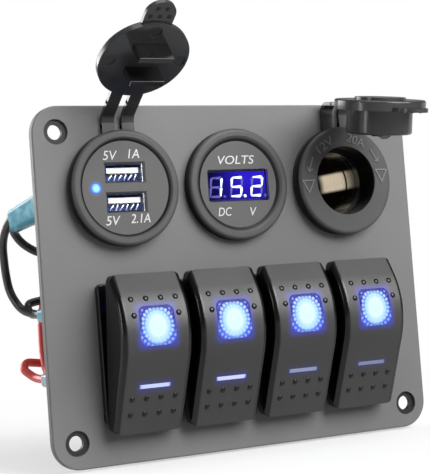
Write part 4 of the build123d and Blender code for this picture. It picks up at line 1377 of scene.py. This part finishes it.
class Surroundings(Graph):
    """The world's node tree, joined up in the same way as a material's."""

    def __init__(self) -> None:
        """Start the scene's world with its plain background."""
        world = bpy.data.worlds.new("studio")
        world.use_nodes = True
        bpy.context.scene.world = world
        self.tree = world.node_tree
        self.background = self.tree.nodes["Background"]


def towards(azimuth: float, height: float) -> Vector:
    """Unit vector at an azimuth from the panel's front and an elevation, both in degrees."""
    az, el = math.radians(azimuth), math.radians(height)
    return Vector((math.sin(az) * math.cos(el), -math.cos(az) * math.cos(el), math.sin(el)))


@dataclass
class Studio:
    """Floor, light and camera.

    Attributes:
        eye: Where the camera stands.
        heading: Its azimuth in degrees, 0 looking along +Y.
        pitch: Its elevation in degrees.
        roll: Its roll in degrees.
        lens_mm: Focal length on a 36 mm sensor.
        floor_z: Height of the floor.
        ambient: Level of the room, which also lights the part.
        aim: What the soft boxes point at.
        boxes: Each soft box: name, azimuth, elevation, distance, size and watts.
    """

    eye: tuple[float, float, float] = (-0.22359, -0.40517, -0.00601)
    heading: float = -28.09
    pitch: float = -2.40
    roll: float = -4.29
    lens_mm: float = 105.62
    floor_z: float = -0.0575
    ambient: float = 0.11
    aim: tuple[float, float, float] = (0.0, -0.01, 0.01)
    boxes: tuple[tuple[str, float, float, float, tuple[float, float], float], ...] = (
        ("key", 26.0, 30.0, 1.25, (1.0, 0.9), 18.5), ("fill", 8.0, 33.0, 1.25, (0.5, 0.8), 6.0),
        ("edge", -83.0, 8.0, 1.1, (0.13, 0.6), 2.0), ("top", 10.0, 85.0, 1.1, (0.9, 0.7), 4.0),
        ("rear", -150.0, 20.0, 1.2, (0.7, 0.7), 9.0))

    def camera(self) -> None:
        """Place the camera and make it the scene's own."""
        roll = math.radians(self.roll)
        back = towards(self.heading, self.pitch)
        right = Vector((0, 0, 1)).cross(back).normalized()
        up = back.cross(right)
        x = right * math.cos(roll) + up * math.sin(roll)
        y = up * math.cos(roll) - right * math.sin(roll)
        data = bpy.data.cameras.new("camera")
        data.lens = self.lens_mm
        data.clip_start, data.clip_end = 0.01, 20.0
        camera = put("camera", data)
        turn = Matrix((x, y, back)).transposed().to_4x4()
        camera.matrix_world = Matrix.Translation(self.eye) @ turn
        bpy.context.scene.camera = camera

    def world(self) -> None:
        """White backdrop behind the part, in a dim room."""
        room = Surroundings()
        path = room.add("LightPath").outputs
        _, y, z = room.split(room.add("TexCoord").outputs["Generated"])
        backdrop = room.times(room.span(y, -0.1, 0.15), room.span(z, 0.14, 0.34, 0.6, 0.0))
        seen = room.most(path["Is Camera Ray"], path["Is Transmission Ray"],
                         room.times(path["Is Glossy Ray"], backdrop))
        room.join(room.background.inputs["Color"], (1.0, 1.0, 1.0))
        room.join(room.background.inputs["Strength"], room.span(seen, 0.0, 1.0, self.ambient, 1.0))

    def floor(self) -> None:
        """Pale floor that keeps the part's shadow."""
        mesh = bmesh.new()
        bmesh.ops.create_grid(mesh, x_segments=1, y_segments=1, size=3.0,
                              matrix=Matrix.Translation((0, 0, self.floor_z)))
        data = bpy.data.meshes.new("floor")
        mesh.to_mesh(data)
        mesh.free()
        floor = put("floor", data)
        data.materials.append(self.paper())

    def paper(self) -> Material:
        """Floor paper: pale to the eye, running out into white far off, with little bounce."""
        graph = Graph("floor_paper")
        coords = graph.place()
        x, y, _ = graph.split(coords)
        r = graph.radius(x, y)
        path = graph.add("LightPath").outputs
        behind = graph.span(y, -0.08, 0.06, 0.12, 1.0)
        seen = graph.most(path["Is Camera Ray"], path["Is Transmission Ray"],
                          graph.times(path["Is Glossy Ray"], behind))
        fibre = graph.noise(coords, 300.0, 3.0)
        shader = graph.shade(Base_Color=graph.blend(seen, (0.28, 0.28, 0.28), (0.9, 0.9, 0.9)),
                             Roughness=0.8, Normal=graph.bump(fibre, 0.00002))
        white = graph.add("Emission", Color=(1.0, 1.0, 1.0), Strength=1.0)
        mix = graph.add("MixShader")
        graph.join(mix.inputs[0], graph.times(seen, graph.span(r, 0.12, 0.45, 0.5, 1.0)))
        graph.join(mix.inputs[1], shader.outputs[0])
        graph.join(mix.inputs[2], white.outputs[0])
        graph.join(graph.output.inputs["Surface"], mix.outputs[0])
        return graph.material

    def softbox(self, name: str, azimuth: float, height: float, distance: float,
                size: tuple[float, float], watts: float) -> None:
        """Add one soft box round the part.

        Args:
            name: Its name.
            azimuth: Degrees to the right of the panel's front.
            height: Its elevation in degrees.
            distance: How far off it stands.
            size: Its width and height.
            watts: Its power.
        """
        data = bpy.data.lights.new(name, "AREA")
        data.shape = "RECTANGLE"
        data.size, data.size_y = size
        data.energy = watts
        lamp = put(name, data)
        away = towards(azimuth, height) * distance
        turn = away.to_track_quat("Z", "Y").to_matrix().to_4x4()
        lamp.matrix_world = Matrix.Translation(Vector(self.aim) + away) @ turn

    def build(self) -> None:
        """Set up camera, light, surroundings and floor."""
        self.camera()
        self.world()
        self.floor()
        for box in self.boxes:
            self.softbox(*box)
        bpy.context.scene.view_settings.view_transform = "Standard"


def main() -> None:
    """Build every sub-assembly, then the studio."""
    logging.basicConfig(level=logging.INFO, format="%(name)s: %(message)s")
    finishes = Finishes()
    builders: list[object] = [Plate(finishes), Charger(finishes), Voltmeter(finishes),
                              PowerSocket(finishes)]
    builders.append(Cap(finishes, "usb", opened=126.0, reach=23.25 * MM, inner=0.3 * MM,
                        arm_drop=1.7 * MM, bend_r=3.8 * MM, seat=1.0 * MM))
    builders.append(Cap(finishes, "socket", opened=78.5, reach=24.3 * MM, inner=-1.45 * MM,
                        arm_drop=0.2 * MM, bend_r=3.4 * MM, seat=0.0))
    for number, light in enumerate((1.0, 1.05, 0.45, 0.35), start=1):
        builders.append(Switch(finishes, number, light))
    builders += [Insides(finishes), Harness(finishes), Studio()]
    for builder in builders:
        log.info("building %s", type(builder).__name__)
        builder.build()


if __name__ == "__main__":
    main()
